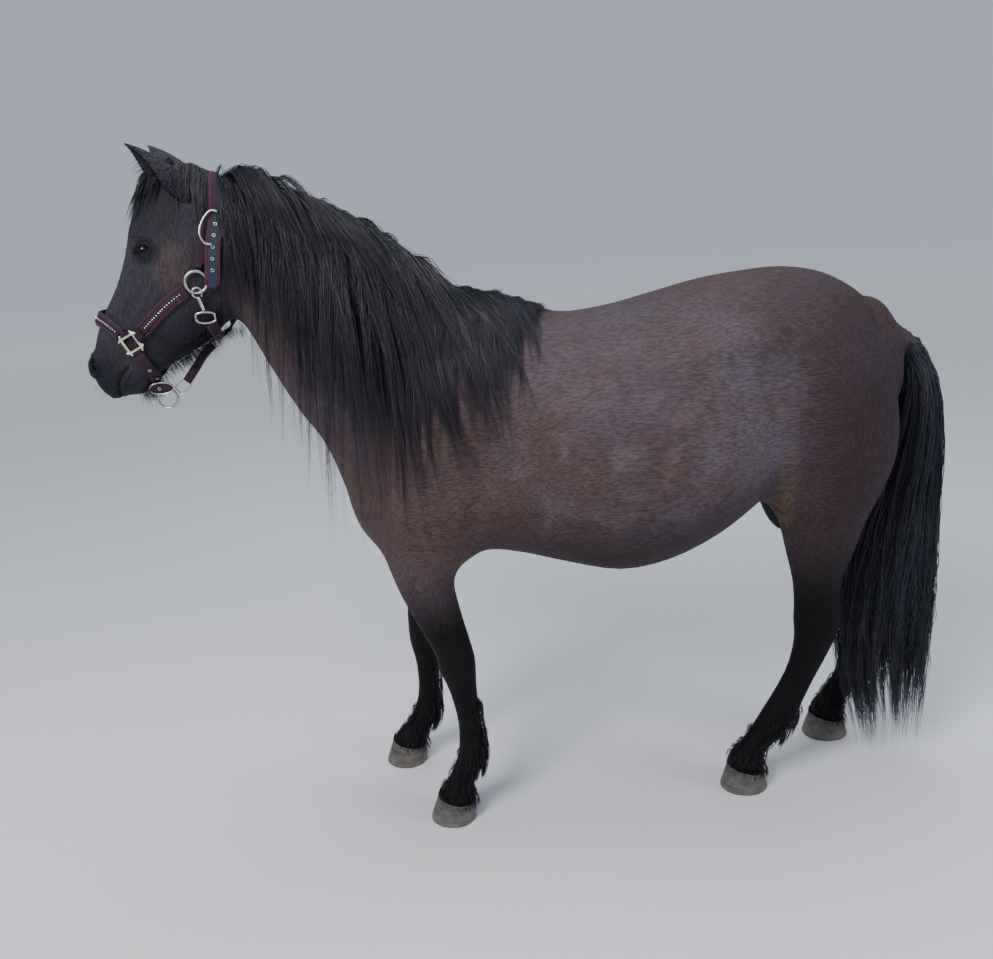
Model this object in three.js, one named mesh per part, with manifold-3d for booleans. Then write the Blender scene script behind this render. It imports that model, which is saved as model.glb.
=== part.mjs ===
// A Shetland pony, standing, at life size, wearing a headcollar. Millimetres, +Z up.
// The head points to -X and the pony's left side to -Y. The floor is z = 0.
// The tables below are measured from a point 66 mm ahead of the middle of the pony's length.
import * as THREE from "three";
import { mergeVertices } from "three/addons/utils/BufferGeometryUtils.js";
import Module from "manifold-3d";

const wasm = await Module();
wasm.setup();

// Driving sizes
const MIDDLE = 66; // from the tables' zero to the middle of the length
const GAP = 0.35; // between meshes that touch
const SIDES = [
  ["left", -1],
  ["right", 1],
];

// Sections of the trunk, in upright planes: x, y, z, reach up, reach down, half width
const TRUNK = [
  [-165, 0, 690, 135, 120, 120],
  [-110, 0, 700, 195, 146, 150],
  [-40, 0, 703, 255, 160, 178],
  [40, 0, 704, 286, 174, 208],
  [130, 0, 700, 279, 194, 240],
  [220, 0, 698, 286, 212, 255],
  [310, 0, 704, 298, 204, 254],
  [400, 0, 716, 306, 174, 238],
  [480, 0, 732, 300, 128, 214],
  [550, 0, 752, 283, 100, 196],
  [615, 0, 776, 246, 95, 168],
  [664, 0, 800, 196, 100, 128],
  [700, 0, 818, 150, 90, 84],
];

// Sections square to a curved middle line: x, y, z, reach up or back, reach down or ahead, half width
const NECK = [
  [-425, 0, 1143, 100, 84, 58],
  [-355, 0, 1080, 146, 114, 64],
  [-280, 0, 990, 182, 146, 80],
  [-200, 0, 895, 196, 172, 102],
  [-90, 0, 800, 200, 190, 132],
];
const HEAD = [
  [-492, 0, 1222, 76, 84, 58],
  [-525, 0, 1165, 90, 91, 74],
  [-555, 0, 1105, 112, 82, 80],
  [-585, 0, 1050, 118, 80, 68],
  [-615, 0, 1000, 86, 84, 54],
  [-645, 0, 955, 52, 81, 46],
  [-672, 0, 928, 42, 68, 46],
  [-690, 0, 914, 32, 42, 38],
];
const FORE_LEFT = [
  [-135, -105, 640, 75, 85, 70],
  [-142, -110, 560, 58, 68, 60],
  [-142, -112, 500, 50, 55, 50],
  [-124, -112, 430, 42, 46, 40],
  [-108, -112, 370, 38, 38, 36],
  [-103, -112, 335, 38, 38, 37],
  [-97, -112, 285, 30, 28, 27],
  [-90, -112, 210, 26, 24, 20],
  [-92, -112, 140, 31, 27, 28],
  [-112, -112, 90, 27, 26, 26],
  [-125, -112, 52, 38, 36, 37],
];
const FORE_RIGHT = [
  [-135, 105, 640, 75, 85, 70],
  [-142, 110, 560, 58, 68, 60],
  [-155, 110, 490, 50, 52, 49],
  [-168, 110, 400, 42, 42, 40],
  [-176, 110, 330, 39, 38, 36],
  [-178, 110, 285, 38, 36, 34],
  [-180, 110, 235, 28, 26, 25],
  [-183, 110, 170, 26, 24, 20],
  [-192, 110, 120, 31, 27, 28],
  [-215, 110, 80, 27, 26, 26],
  [-232, 110, 50, 38, 36, 37],
];
const HIND_LEFT = [
  [588, -95, 820, 104, 118, 98],
  [592, -105, 730, 124, 104, 100],
  [592, -110, 650, 108, 84, 90],
  [590, -112, 560, 70, 68, 66],
  [590, -108, 480, 46, 50, 44],
  [594, -102, 415, 46, 48, 35],
  [597, -98, 365, 46, 50, 37],
  [588, -94, 310, 37, 40, 29],
  [563, -90, 240, 32, 32, 22],
  [516, -86, 145, 36, 32, 29],
  [480, -84, 95, 28, 27, 26],
  [462, -82, 56, 40, 38, 37],
];
const HIND_RIGHT = [
  [588, 95, 820, 104, 118, 98],
  [596, 105, 730, 124, 104, 100],
  [612, 110, 650, 106, 90, 90],
  [645, 112, 560, 72, 72, 66],
  [690, 106, 480, 48, 50, 44],
  [728, 100, 420, 44, 44, 35],
  [746, 96, 370, 44, 46, 37],
  [745, 92, 315, 36, 36, 29],
  [738, 89, 240, 30, 27, 22],
  [728, 86, 140, 34, 30, 29],
  [700, 86, 95, 28, 27, 26],
  [684, 86, 56, 40, 38, 37],
];

// Masses of muscle and bone, alike on both sides: x, y, z, radii, lean in degrees, blend
const MUSCLES = [
  [-100, 105, 770, 72, 62, 165, 24, 70],
  [-92, 116, 640, 70, 52, 84, 0, 45],
  [-196, 80, 676, 56, 56, 70, 0, 50],
  [-206, 42, 640, 50, 42, 64, 0, 40],
  [550, 100, 855, 140, 82, 92, 0, 70],
  [615, 110, 735, 92, 74, 128, 0, 60],
  [530, 112, 652, 44, 52, 66, -20, 40],
  [598, 112, 560, 54, 48, 90, 0, 40],
  [468, 156, 922, 50, 34, 36, 0, 60],
];
const FACE = [
  [-522, 60, 1050, 62, 22, 74, 12, 20],
  [-572, 54, 1170, 30, 24, 13, 30, 14],
  [-604, 52, 1092, 12, 13, 44, 38, 16],
  [-710, 25, 952, 16, 16, 24, 20, 12],
  [-652, 0, 906, 26, 24, 17, 0, 12],
];

// Vectors as plain arrays
const plus = (a, b, s = 1) => [a[0] + s * b[0], a[1] + s * b[1], a[2] + s * b[2]];
const minus = (a, b) => plus(a, b, -1);
const times = (a, s) => [a[0] * s, a[1] * s, a[2] * s];
const dot = (a, b) => a[0] * b[0] + a[1] * b[1] + a[2] * b[2];
const cross = (a, b) => [
  a[1] * b[2] - a[2] * b[1],
  a[2] * b[0] - a[0] * b[2],
  a[0] * b[1] - a[1] * b[0],
];
const size = (a) => Math.hypot(...a);
const unit = (a) => times(a, 1 / size(a));
const mix = (a, b, t) => a.map((v, i) => v + t * (b[i] - v));

// Rows of numbers, with smooth rows put between them
function smoothRows(rows, steps) {
  const last = rows.length - 1;
  const before = rows[0].map((v, i) => 2 * v - rows[1][i]);
  const after = rows[last].map((v, i) => 2 * v - rows[last - 1][i]);
  const all = [before, ...rows, after];
  const made = [];
  for (let r = 1; r <= last; r++) {
    for (let s = 0; s < steps; s++) {
      const t = s / steps;
      made.push(
        all[r].map((b, i) => {
          const [a, c, d] = [all[r - 1][i], all[r + 1][i], all[r + 2][i]];
          const curve = 2 * a - 5 * b + 4 * c - d;
          const twist = 3 * b - a - 3 * c + d;
          return (2 * b + (c - a) * t + curve * t * t + twist * t ** 3) / 2;
        }),
      );
    }
  }
  made.push([...rows[last]]);
  return made;
}

// Field of a body of changing oval section: below zero inside, about in mm near the surface
function loftField(rows, power = 2, upright = false) {
  const st = smoothRows(rows, 3);
  const along = st.map((r, i) => {
    const a = st[Math.max(i - 1, 0)];
    const b = st[Math.min(i + 1, st.length - 1)];
    return upright ? [1, 0, 0] : unit(minus(b, a));
  });
  const across = along.map((t) => unit([-t[2], 0, t[0]]));
  const offset = st.map((r, i) => dot(r, along[i]));
  const section = (p, row, n, w) => {
    const q = minus(p, row);
    const u = dot(q, n);
    const reach = u > 0 ? row[3] : row[4];
    const least = Math.min(row[3], row[4], row[5]);
    const sum =
      Math.abs(u / reach) ** power +
      Math.abs(q[1] / row[5]) ** power +
      Math.abs(w / (0.9 * least)) ** power;
    return (sum ** (1 / power) - 1) * least;
  };
  return (p) => {
    let best = 9000;
    let below = dot(p, along[0]) - offset[0];
    if (below < 0) best = section(p, st[0], across[0], below);
    for (let i = 0; i < st.length - 1; i++) {
      const above = dot(p, along[i + 1]) - offset[i + 1];
      if (below >= 0 && above < 0) {
        const t = below / (below - above);
        const row = mix(st[i], st[i + 1], t);
        best = Math.min(best, section(p, row, mix(across[i], across[i + 1], t), 0));
      }
      below = above;
    }
    if (below >= 0) {
      best = Math.min(best, section(p, st[st.length - 1], across[st.length - 1], below));
    }
    return best;
  };
}

// Two fields joined with a soft valley of width k between them
function soft(a, b, k) {
  const h = Math.max(k - Math.abs(a - b), 0) / k;
  return Math.min(a, b) - (h * h * k) / 4;
}

// Field of one mass on one side
function massField([x, y, z, rx, ry, rz, lean], side) {
  const c = Math.cos((lean * Math.PI) / 180);
  const s = Math.sin((lean * Math.PI) / 180);
  const least = Math.min(rx, ry, rz);
  return (p) => {
    const [dx, dy, dz] = [p[0] - x, p[1] - side * y, p[2] - z];
    const a = (dx * c - dz * s) / rx;
    const b = (dx * s + dz * c) / rz;
    return (Math.hypot(a, dy / ry, b) - 1) * least;
  };
}

const trunk = loftField(TRUNK, 2.12, true);
const neckForm = loftField(NECK, 2.1);
const headForm = loftField(HEAD, 2.3);
const limbs = [FORE_LEFT, FORE_RIGHT, HIND_LEFT, HIND_RIGHT].map((rows) => loftField(rows));
const bothSides = (masses) =>
  masses.flatMap((m) => SIDES.map(([, side]) => [massField(m, side), m[7]]));
const muscles = bothSides(MUSCLES);
const face = bothSides(FACE);

// Field of the head alone
function headField(p) {
  let d = headForm(p);
  for (const [field, blend] of face) d = soft(d, field(p), blend);
  return d;
}

// Field of the whole body
function bodyField(p) {
  let d = soft(trunk(p), neckForm(p), 90);
  for (const limb of limbs) d = soft(d, limb(p), 45);
  for (const [field, blend] of muscles) d = soft(d, field(p), blend);
  if (p[0] < -300) d = soft(d, headField(p), 40);
  return d;
}

// Direction in which a field grows
function slope(field, p) {
  const e = 0.5;
  return unit([0, 1, 2].map((i) => {
    const step = [0, 0, 0];
    step[i] = e;
    return field(plus(p, step)) - field(minus(p, step));
  }));
}

// A point moved onto the surface where a field has a given value
function onto(field, point, value, tries = 5) {
  let p = point;
  for (let i = 0; i < tries; i++) p = plus(p, slope(field, p), value - field(p));
  return p;
}

// A solid from vertices and faces
function solidOf(points, faces) {
  const geometry = new THREE.BufferGeometry();
  geometry.setAttribute("position", new THREE.BufferAttribute(new Float32Array(points.flat()), 3));
  geometry.setIndex(faces.flat());
  const merged = mergeVertices(geometry, 1e-3);
  return new wasm.Manifold(
    new wasm.Mesh({
      numProp: 3,
      vertProperties: merged.attributes.position.array,
      triVerts: new Uint32Array(merged.index.array),
    }),
  );
}

// A solid from a three.js geometry
function solidOfGeometry(geometry) {
  const bare = geometry.index ? geometry.toNonIndexed() : geometry.clone();
  bare.deleteAttribute("normal");
  bare.deleteAttribute("uv");
  const position = Array.from(bare.attributes.position.array);
  const points = [];
  const faces = [];
  for (let i = 0; i < position.length; i += 3) points.push(position.slice(i, i + 3));
  for (let i = 0; i < points.length; i += 3) faces.push([i, i + 1, i + 2]);
  return solidOf(points, faces);
}

// The number of faces of a closed surface brought down to a share of it, least needed edges first
function thinned(points, faces, share) {
  const goal = faces.length * share;
  const normal = ([a, b, c]) => cross(minus(points[b], points[a]), minus(points[c], points[a]));
  let left = faces;
  for (let pass = 0; pass < 60 && left.length > goal; pass++) {
    const around = points.map(() => []);
    left.forEach((f) => f.forEach((v) => around[v].push(f)));
    const need = (v, place) =>
      around[v].reduce((sum, f) => {
        const n = normal(f);
        return sum + dot(n, minus(place, points[f[0]])) ** 2 / (size(n) + 1e-6);
      }, 0);
    const edges = [];
    for (const f of left) {
      for (let i = 0; i < 3; i++) {
        const [a, b] = [f[i], f[(i + 1) % 3]];
        if (a > b) continue;
        const middle = mix(points[a], points[b], 0.5);
        const flat = 2e-4 * size(minus(points[a], points[b])) ** 4;
        edges.push([need(a, middle) + need(b, middle) + flat, a, b, middle]);
      }
    }
    edges.sort((p, q) => p[0] - q[0]);
    const busy = new Set();
    let count = left.length;
    for (const [, a, b, middle] of edges.slice(0, Math.ceil(edges.length / 5))) {
      if (count <= goal) break;
      const ring = (v) => new Set(around[v].flat().filter((x) => x !== v));
      const [ra, rb] = [ring(a), ring(b)];
      if ([...ra, ...rb].some((v) => busy.has(v))) continue;
      if ([...ra].filter((v) => rb.has(v)).length !== 2) continue;
      const kept = [...around[a], ...around[b]].filter((f) => !(f.includes(a) && f.includes(b)));
      const was = [points[a], points[b]];
      const before = kept.map(normal);
      points[a] = middle;
      points[b] = middle;
      const turned = kept.some((f, i) => {
        const n = normal(f);
        return dot(n, before[i]) < 0.4 * size(n) * size(before[i]);
      });
      if (turned) {
        [points[a], points[b]] = was;
        continue;
      }
      around[b].forEach((f) => f.forEach((v, i) => v === b && (f[i] = a)));
      [...ra, ...rb].forEach((v) => busy.add(v));
      count -= 2;
    }
    const next = left.filter(([a, b, c]) => a !== b && b !== c && c !== a);
    if (next.length === left.length) break;
    left = next;
  }
  return left;
}

// The surface of a field inside a box, in cells of a given size, as a closed solid with fewer faces
function netSolid(field, low, high, cell, share = 1) {
  const n = [0, 1, 2].map((i) => Math.ceil((high[i] - low[i]) / cell[i]) + 1);
  const at = (i, j, k) => (i * n[1] + j) * n[2] + k;
  const value = new Float64Array(n[0] * n[1] * n[2]);
  const place = (i, j, k) => [low[0] + i * cell[0], low[1] + j * cell[1], low[2] + k * cell[2]];
  for (let i = 0; i < n[0]; i++) {
    for (let j = 0; j < n[1]; j++) {
      for (let k = 0; k < n[2]; k++) {
        const edge = [i, j, k].some((v, a) => v === 0 || v === n[a] - 1);
        const d = field(place(i, j, k));
        value[at(i, j, k)] = edge ? Math.max(d, 1) : d;
      }
    }
  }
  const corners = [0, 1, 2, 3, 4, 5, 6, 7].map((b) => [b & 1, (b >> 1) & 1, b >> 2]);
  const points = [];
  const index = new Map();
  for (let i = 0; i < n[0] - 1; i++) {
    for (let j = 0; j < n[1] - 1; j++) {
      for (let k = 0; k < n[2] - 1; k++) {
        const v = corners.map(([a, b, c]) => value[at(i + a, j + b, k + c)]);
        if (v.every((x) => x < 0) || v.every((x) => x >= 0)) continue;
        let sum = [0, 0, 0];
        let count = 0;
        for (let a = 0; a < 8; a++) {
          for (const bit of [1, 2, 4]) {
            const b = a | bit;
            if (b === a || v[a] < 0 === v[b] < 0) continue;
            const t = v[a] / (v[a] - v[b]);
            sum = plus(sum, mix(corners[a], corners[b], t));
            count++;
          }
        }
        const c = times(sum, 1 / count);
        let p = place(i + c[0], j + c[1], k + c[2]);
        const inside = [0, 1, 2].every((a) => {
          const r = [i, j, k][a];
          return r > 0 && r < n[a] - 2;
        });
        if (inside) {
          const moved = onto(field, p, 0, 2);
          if (size(minus(moved, p)) < 0.4 * Math.min(...cell)) p = moved;
        }
        index.set(at(i, j, k), points.length);
        points.push(p);
      }
    }
  }
  const faces = [];
  const quad = (a, b, c, d, flip) => {
    const q = [a, b, c, d].map((x) => index.get(x));
    if (flip) q.reverse();
    const short = size(minus(points[q[0]], points[q[2]])) < size(minus(points[q[1]], points[q[3]]));
    if (short) faces.push([q[0], q[1], q[2]], [q[0], q[2], q[3]]);
    else faces.push([q[1], q[2], q[3]], [q[1], q[3], q[0]]);
  };
  for (let i = 0; i < n[0] - 1; i++) {
    for (let j = 0; j < n[1] - 1; j++) {
      for (let k = 0; k < n[2] - 1; k++) {
        const here = value[at(i, j, k)] < 0;
        if (j && k && here !== value[at(i + 1, j, k)] < 0)
          quad(at(i, j - 1, k - 1), at(i, j, k - 1), at(i, j, k), at(i, j - 1, k), !here);
        if (i && k && here !== value[at(i, j + 1, k)] < 0)
          quad(at(i - 1, j, k - 1), at(i - 1, j, k), at(i, j, k), at(i, j, k - 1), !here);
        if (i && j && here !== value[at(i, j, k + 1)] < 0)
          quad(at(i - 1, j - 1, k), at(i, j - 1, k), at(i, j, k), at(i - 1, j, k), !here);
      }
    }
  }
  if (share === 1) return solidOf(points, faces);
  const left = thinned(points, faces, share);
  const used = new Set(left.flat());
  used.forEach((v) => {
    const inside = points[v].every((x, a) => x > low[a] + 1.5 * cell[a] && x < high[a] - 1.5 * cell[a]);
    if (inside) points[v] = onto(field, points[v], 0, 2);
  });
  return solidOf(points, left);
}

// Largest closed surface of a solid
function largest(solid) {
  return solid.decompose().reduce((a, b) => (a.volume() > b.volume() ? a : b));
}

// A solid swept through rings of points, closed at both ends
function ringSolid(rings) {
  const n = rings[0].length;
  const points = rings.flat();
  const faces = [];
  for (let r = 0; r < rings.length - 1; r++) {
    for (let i = 0; i < n; i++) {
      const a = r * n + i;
      const b = r * n + ((i + 1) % n);
      faces.push([a, b, b + n], [a, b + n, a + n]);
    }
  }
  const first = points.push(times(rings[0].reduce((a, b) => plus(a, b)), 1 / n)) - 1;
  const end = rings[rings.length - 1];
  const last = points.push(times(end.reduce((a, b) => plus(a, b)), 1 / n)) - 1;
  for (let i = 0; i < n; i++) {
    const j = (i + 1) % n;
    const base = (rings.length - 1) * n;
    faces.push([first, j, i], [last, base + i, base + j]);
  }
  const made = solidOf(points, faces);
  if (made.volume() > 0) return made;
  return solidOf(points, faces.map(([a, b, c]) => [a, c, b]));
}

// A box from its lowest to its highest corner
function boxSolid(low, high) {
  const s = minus(high, low);
  const box = new THREE.BoxGeometry(...s);
  box.translate(...plus(low, s, 0.5));
  return solidOfGeometry(box);
}

const group = new THREE.Group();
group.position.x = -MIDDLE;
const coats = {
  body: new THREE.MeshStandardMaterial({ color: 0x3a2a28, roughness: 0.7 }),
  leg: new THREE.MeshStandardMaterial({ color: 0x1f1a1d, roughness: 0.75 }),
  hair: new THREE.MeshStandardMaterial({ color: 0x121016, roughness: 0.6 }),
  hoof: new THREE.MeshStandardMaterial({ color: 0x4a4640, roughness: 0.8 }),
  eye: new THREE.MeshStandardMaterial({ color: 0x0b0807, roughness: 0.05 }),
  strap: new THREE.MeshStandardMaterial({ color: 0x3c1626, roughness: 0.85 }),
  metal: new THREE.MeshStandardMaterial({ color: 0xc8c4ba, roughness: 0.25, metalness: 1 }),
};

// The vertices and faces of a solid as a three.js geometry
function geometryOf(solid) {
  const mesh = solid.getMesh();
  const n = mesh.numProp;
  const position = new Float32Array(mesh.numVert * 3);
  for (let i = 0; i < mesh.numVert; i++) {
    position.set(mesh.vertProperties.subarray(i * n, i * n + 3), i * 3);
  }
  const geometry = new THREE.BufferGeometry();
  geometry.setAttribute("position", new THREE.BufferAttribute(position, 3));
  geometry.setIndex(new THREE.BufferAttribute(mesh.triVerts, 1));
  return geometry;
}

// Points of a surface that only touch one another are drawn a little apart
const TOUCH = 0.02;
const APART = 0.05;
function drawnApart(points, faces) {
  const near = points.map(() => []);
  faces.forEach((f) => f.forEach((v) => near[v].push(...f)));
  const touching = new Set();
  for (const shift of [0, 0.5]) {
    const seen = new Map();
    near.forEach((others, v) => {
      if (!others.length) return;
      const key = points[v].map((x) => Math.floor(x / TOUCH + shift)).join();
      if (seen.has(key)) [v, seen.get(key)].forEach((both) => touching.add(both));
      seen.set(key, v);
    });
  }
  return points.map((p, v) => {
    if (!touching.has(v)) return p;
    const middle = times(near[v].reduce((sum, o) => plus(sum, points[o]), [0, 0, 0]), 1 / near[v].length);
    return plus(p, unit(minus(middle, p)), APART);
  });
}

// A solid without the very short edges that cutting leaves
const SHORT_EDGE = 0.12;
function mended(solid) {
  const geometry = geometryOf(solid);
  const place = Array.from(geometry.attributes.position.array);
  const at = Array.from(geometry.index.array);
  const points = Array.from({ length: place.length / 3 }, (_, i) => place.slice(3 * i, 3 * i + 3));
  let faces = Array.from({ length: at.length / 3 }, (_, i) => at.slice(3 * i, 3 * i + 3));
  for (let pass = 0; pass < 12; pass++) {
    const around = points.map(() => []);
    faces.forEach((f) => f.forEach((v) => around[v].push(f)));
    const ring = (v) => new Set(around[v].flat().filter((x) => x !== v));
    const busy = new Set();
    let found = 0;
    for (const f of faces) {
      for (let i = 0; i < 3; i++) {
        const [a, b] = [f[i], f[(i + 1) % 3]];
        if (a === b || busy.has(a) || busy.has(b)) continue;
        if (size(minus(points[a], points[b])) > SHORT_EDGE) continue;
        const [ra, rb] = [ring(a), ring(b)];
        if ([...ra].filter((v) => rb.has(v)).length !== 2) continue;
        around[b].forEach((g) => g.forEach((v, j) => v === b && (g[j] = a)));
        [...ra, ...rb].forEach((v) => busy.add(v));
        found++;
      }
    }
    faces = faces.filter(([a, b, c]) => a !== b && b !== c && c !== a);
    if (!found) break;
  }
  return solidOf(drawnApart(points, faces), faces);
}

// One named mesh from a solid
function addNode(name, solid, material) {
  const geometry = geometryOf(largest(mended(solid)));
  const made = new THREE.Mesh(geometry, material);
  made.name = name;
  group.add(made);
}

// Planes that part the body: a point and the direction of the side beyond
const NECK_CUT = { at: [40, 0, 1000], beyond: unit([300, 0, -350]) };
const HEAD_CUT = { at: [-425, 0, 1300], beyond: unit([300, 0, -23]) };
const FORE_BOX = { front: -330, rear: -30, top: 535 };
const HIND_BOX = { front: 482, rear: 850, top: 575 };

// The part of a solid on the far or near side of a plane, half a gap away from it
function beyondPlane(solid, cut, clear = GAP / 2) {
  return solid.trimByPlane(cut.beyond, dot(cut.beyond, cut.at) + clear);
}
function beforePlane(solid, cut) {
  return solid.trimByPlane(times(cut.beyond, -1), GAP / 2 - dot(cut.beyond, cut.at));
}

// Trunk, from the foot of the neck to the rump, or a little larger than life to clear the hair from it
function makeTorso(grow = 0) {
  const field = (p) => bodyField(p) - grow;
  const whole = netSolid(field, [-330, -290, 430], [840, 290, 1080], [30, 26, 26], 0.32);
  const legRoom = [FORE_BOX, HIND_BOX].map((b) => boxSolid([b.front, -330, 300], [b.rear, 330, b.top]));
  const trimmed = beyondPlane(whole, NECK_CUT, grow ? -GAP / 2 : GAP / 2);
  return largest(trimmed.subtract(legRoom[0]).subtract(legRoom[1]));
}

// Neck with its crest
function makeNeck() {
  const whole = netSolid(bodyField, [-510, -210, 600], [110, 210, 1340], [26, 22, 26], 0.32);
  return largest(beyondPlane(beforePlane(whole, NECK_CUT), HEAD_CUT));
}

// Legs, each in two lengths, and hooves
const LEGS = [
  { name: "fore", side: "left", y: -1, box: FORE_BOX, split: 270, hoof: [-133, -112, 52, 46], top: [-125, 44] },
  { name: "fore", side: "right", y: 1, box: FORE_BOX, split: 228, hoof: [-241, 110, 51, 46], top: [-232, 44] },
  { name: "hind", side: "left", y: -1, box: HIND_BOX, split: 292, hoof: [460, -84, 53, 44], top: [464, 44] },
  { name: "hind", side: "right", y: 1, box: HIND_BOX, split: 300, hoof: [683, 86, 54, 44], top: [686, 44] },
];
const CORONET_TILT = 0.2;
const CORONET = [40, 37];
const HOOF_SIDES = 14;

function coronetCut(leg) {
  return { at: [leg.top[0], 0, leg.top[1]], beyond: unit([CORONET_TILT, 0, 1]) };
}

function makeLeg(leg) {
  const b = leg.box;
  const low = [b.front, leg.y < 0 ? -210 : 0, leg.split - 30];
  const high = [b.rear, leg.y < 0 ? 0 : 210, b.top + 60];
  const upper = netSolid(bodyField, low, high, [13, 13, 17], 0.3);
  const top = { at: [0, 0, b.top - GAP], beyond: [0, 0, -1] };
  const split = { at: [0, 0, leg.split], beyond: [0, 0, 1] };
  return largest(beyondPlane(beyondPlane(upper, top), split));
}

function makeCannon(leg) {
  const b = leg.box;
  const low = [b.front - 90, leg.y < 0 ? -210 : 0, 10];
  const high = [b.rear, leg.y < 0 ? 0 : 210, leg.split + 40];
  const lower = netSolid(bodyField, low, high, [8, 8, 12], 0.22);
  const split = { at: [0, 0, leg.split], beyond: [0, 0, 1] };
  return largest(beyondPlane(beforePlane(lower, split), coronetCut(leg)));
}

// Hoof: a flat sole on the floor, a sloping wall and a tilted top under the coronet
function makeHoof(leg) {
  const [x, y, long, wide] = leg.hoof;
  const levels = [0, 0.12, 0.55, 1];
  const rings = levels.map((t) => {
    const grow = 0.93 + 0.07 * Math.min(t / 0.12, 1);
    const a = (long + (CORONET[0] - long) * t) * grow;
    const b = (wide + (CORONET[1] - wide) * t) * grow;
    const cx = x + (leg.top[0] - x) * t;
    return Array.from({ length: HOOF_SIDES }, (_, i) => {
      const turn = (2 * Math.PI * i) / HOOF_SIDES;
      const heel = Math.cos(turn) > 0 ? 0.86 : 1;
      const px = cx + a * heel * Math.cos(turn);
      const py = y + b * Math.sin(turn);
      const cut = leg.top[1] - CORONET_TILT * (px - leg.top[0]) - GAP;
      return [px, py, cut * t];
    });
  });
  return ringSolid(rings);
}

// Eyes: balls in sockets with a ring of lids round each
const EYE = { x: -575, y: 58, z: 1147, radius: 18 };
const LIDS = { long: 15, high: 9.5, thick: 3.2, steps: 18, sides: 5 };

function eyeBall(side, radius) {
  const ball = new THREE.IcosahedronGeometry(radius, 1);
  ball.translate(EYE.x, side * EYE.y, EYE.z);
  return solidOfGeometry(ball);
}

function lidRing(side) {
  const centre = [EYE.x, side * EYE.y, EYE.z];
  const out = unit([-0.28, side, 0.1]);
  const along = unit(minus([-0.45, 0, -0.9], times(out, dot([-0.45, 0, -0.9], out))));
  const up = unit(cross(out, along));
  const rings = Array.from({ length: LIDS.steps }, (_, i) => {
    const turn = (2 * Math.PI * i) / LIDS.steps;
    const on = (a) => {
      const flat = plus(times(along, LIDS.long * Math.cos(a)), up, LIDS.high * Math.sin(a));
      return plus(centre, unit(plus(flat, out, 15)), EYE.radius + 0.5);
    };
    const here = on(turn);
    const way = unit(minus(on(turn + 0.01), here));
    const normal = unit(minus(here, centre));
    const across = cross(way, normal);
    return Array.from({ length: LIDS.sides }, (_, j) => {
      const a = (2 * Math.PI * j) / LIDS.sides;
      return plus(plus(here, normal, LIDS.thick * Math.cos(a)), across, LIDS.thick * Math.sin(a));
    });
  });
  return closedTube(rings);
}

// A tube that closes on itself
function closedTube(rings) {
  const n = rings[0].length;
  const points = rings.flat();
  const faces = [];
  rings.forEach((_, r) => {
    const next = ((r + 1) % rings.length) * n;
    for (let i = 0; i < n; i++) {
      const a = r * n + i;
      const b = r * n + ((i + 1) % n);
      const c = next + ((i + 1) % n);
      const d = next + i;
      faces.push([a, b, c], [a, c, d]);
    }
  });
  const made = solidOf(points, faces);
  if (made.volume() > 0) return made;
  return solidOf(points, faces.map(([a, b, c]) => [a, c, b]));
}

// Head with sockets, lids, nostrils and the slit of the mouth
const NOSTRIL = { x: -722, y: 33, z: 953, radii: [8, 11, 17] };
const MOUTH = [
  [-700, 872],
  [-684, 886],
  [-677, 905],
  [-667, 925],
  [-649, 942],
  [-665, 921],
  [-673, 903],
  [-679, 884],
  [-682, 868],
];

function makeHead() {
  const whole = netSolid(bodyField, [-760, -104, 856], [-400, 104, 1320], [9.5, 9.5, 9.5], 0.32);
  let head = beforePlane(whole, HEAD_CUT);
  for (const [, side] of SIDES) {
    const hole = new THREE.SphereGeometry(1, 10, 8);
    hole.scale(...NOSTRIL.radii);
    hole.rotateZ(-0.5 * side);
    hole.translate(NOSTRIL.x, side * NOSTRIL.y, NOSTRIL.z);
    head = head.add(lidRing(side)).subtract(eyeBall(side, EYE.radius + GAP));
    head = head.subtract(solidOfGeometry(hole));
  }
  const outline = new THREE.Shape(MOUTH.map(([x, z]) => new THREE.Vector2(x, z)));
  const slit = new THREE.ExtrudeGeometry(outline, { depth: 160, bevelEnabled: false });
  slit.rotateX(Math.PI / 2);
  slit.translate(0, 80, 0);
  return largest(head.subtract(solidOfGeometry(slit)));
}

// Ears: cupped leaves, open ahead and outwards
const EAR = { base: [-508, 46, 1246], tip: [-579, 68, 1326], thick: 4.5, sides: 6 };
const EAR_FORM = [
  [0, 17, 150],
  [0.2, 20, 128],
  [0.45, 21, 100],
  [0.7, 16, 80],
  [0.9, 8, 66],
  [1, 3, 60],
];

function makeEar(side) {
  const base = [EAR.base[0], side * EAR.base[1], EAR.base[2]];
  const tip = [EAR.tip[0], side * EAR.tip[1], EAR.tip[2]];
  const way = unit(minus(tip, base));
  const raw = [-0.75, side * 0.5, -0.3];
  const open = unit(minus(raw, times(way, dot(raw, way))));
  const across = cross(way, open);
  const rings = EAR_FORM.map(([t, radius, half]) => {
    const centre = mix(base, tip, t);
    const arc = (r) =>
      Array.from({ length: EAR.sides + 1 }, (_, i) => {
        const a = Math.PI + ((half * (2 * i - EAR.sides)) / EAR.sides) * (Math.PI / 180);
        return plus(plus(centre, open, r * Math.cos(a)), across, r * Math.sin(a));
      });
    return [...arc(radius), ...arc(Math.max(radius - EAR.thick, radius * 0.4)).reverse()];
  });
  return ringSolid(rings);
}

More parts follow.
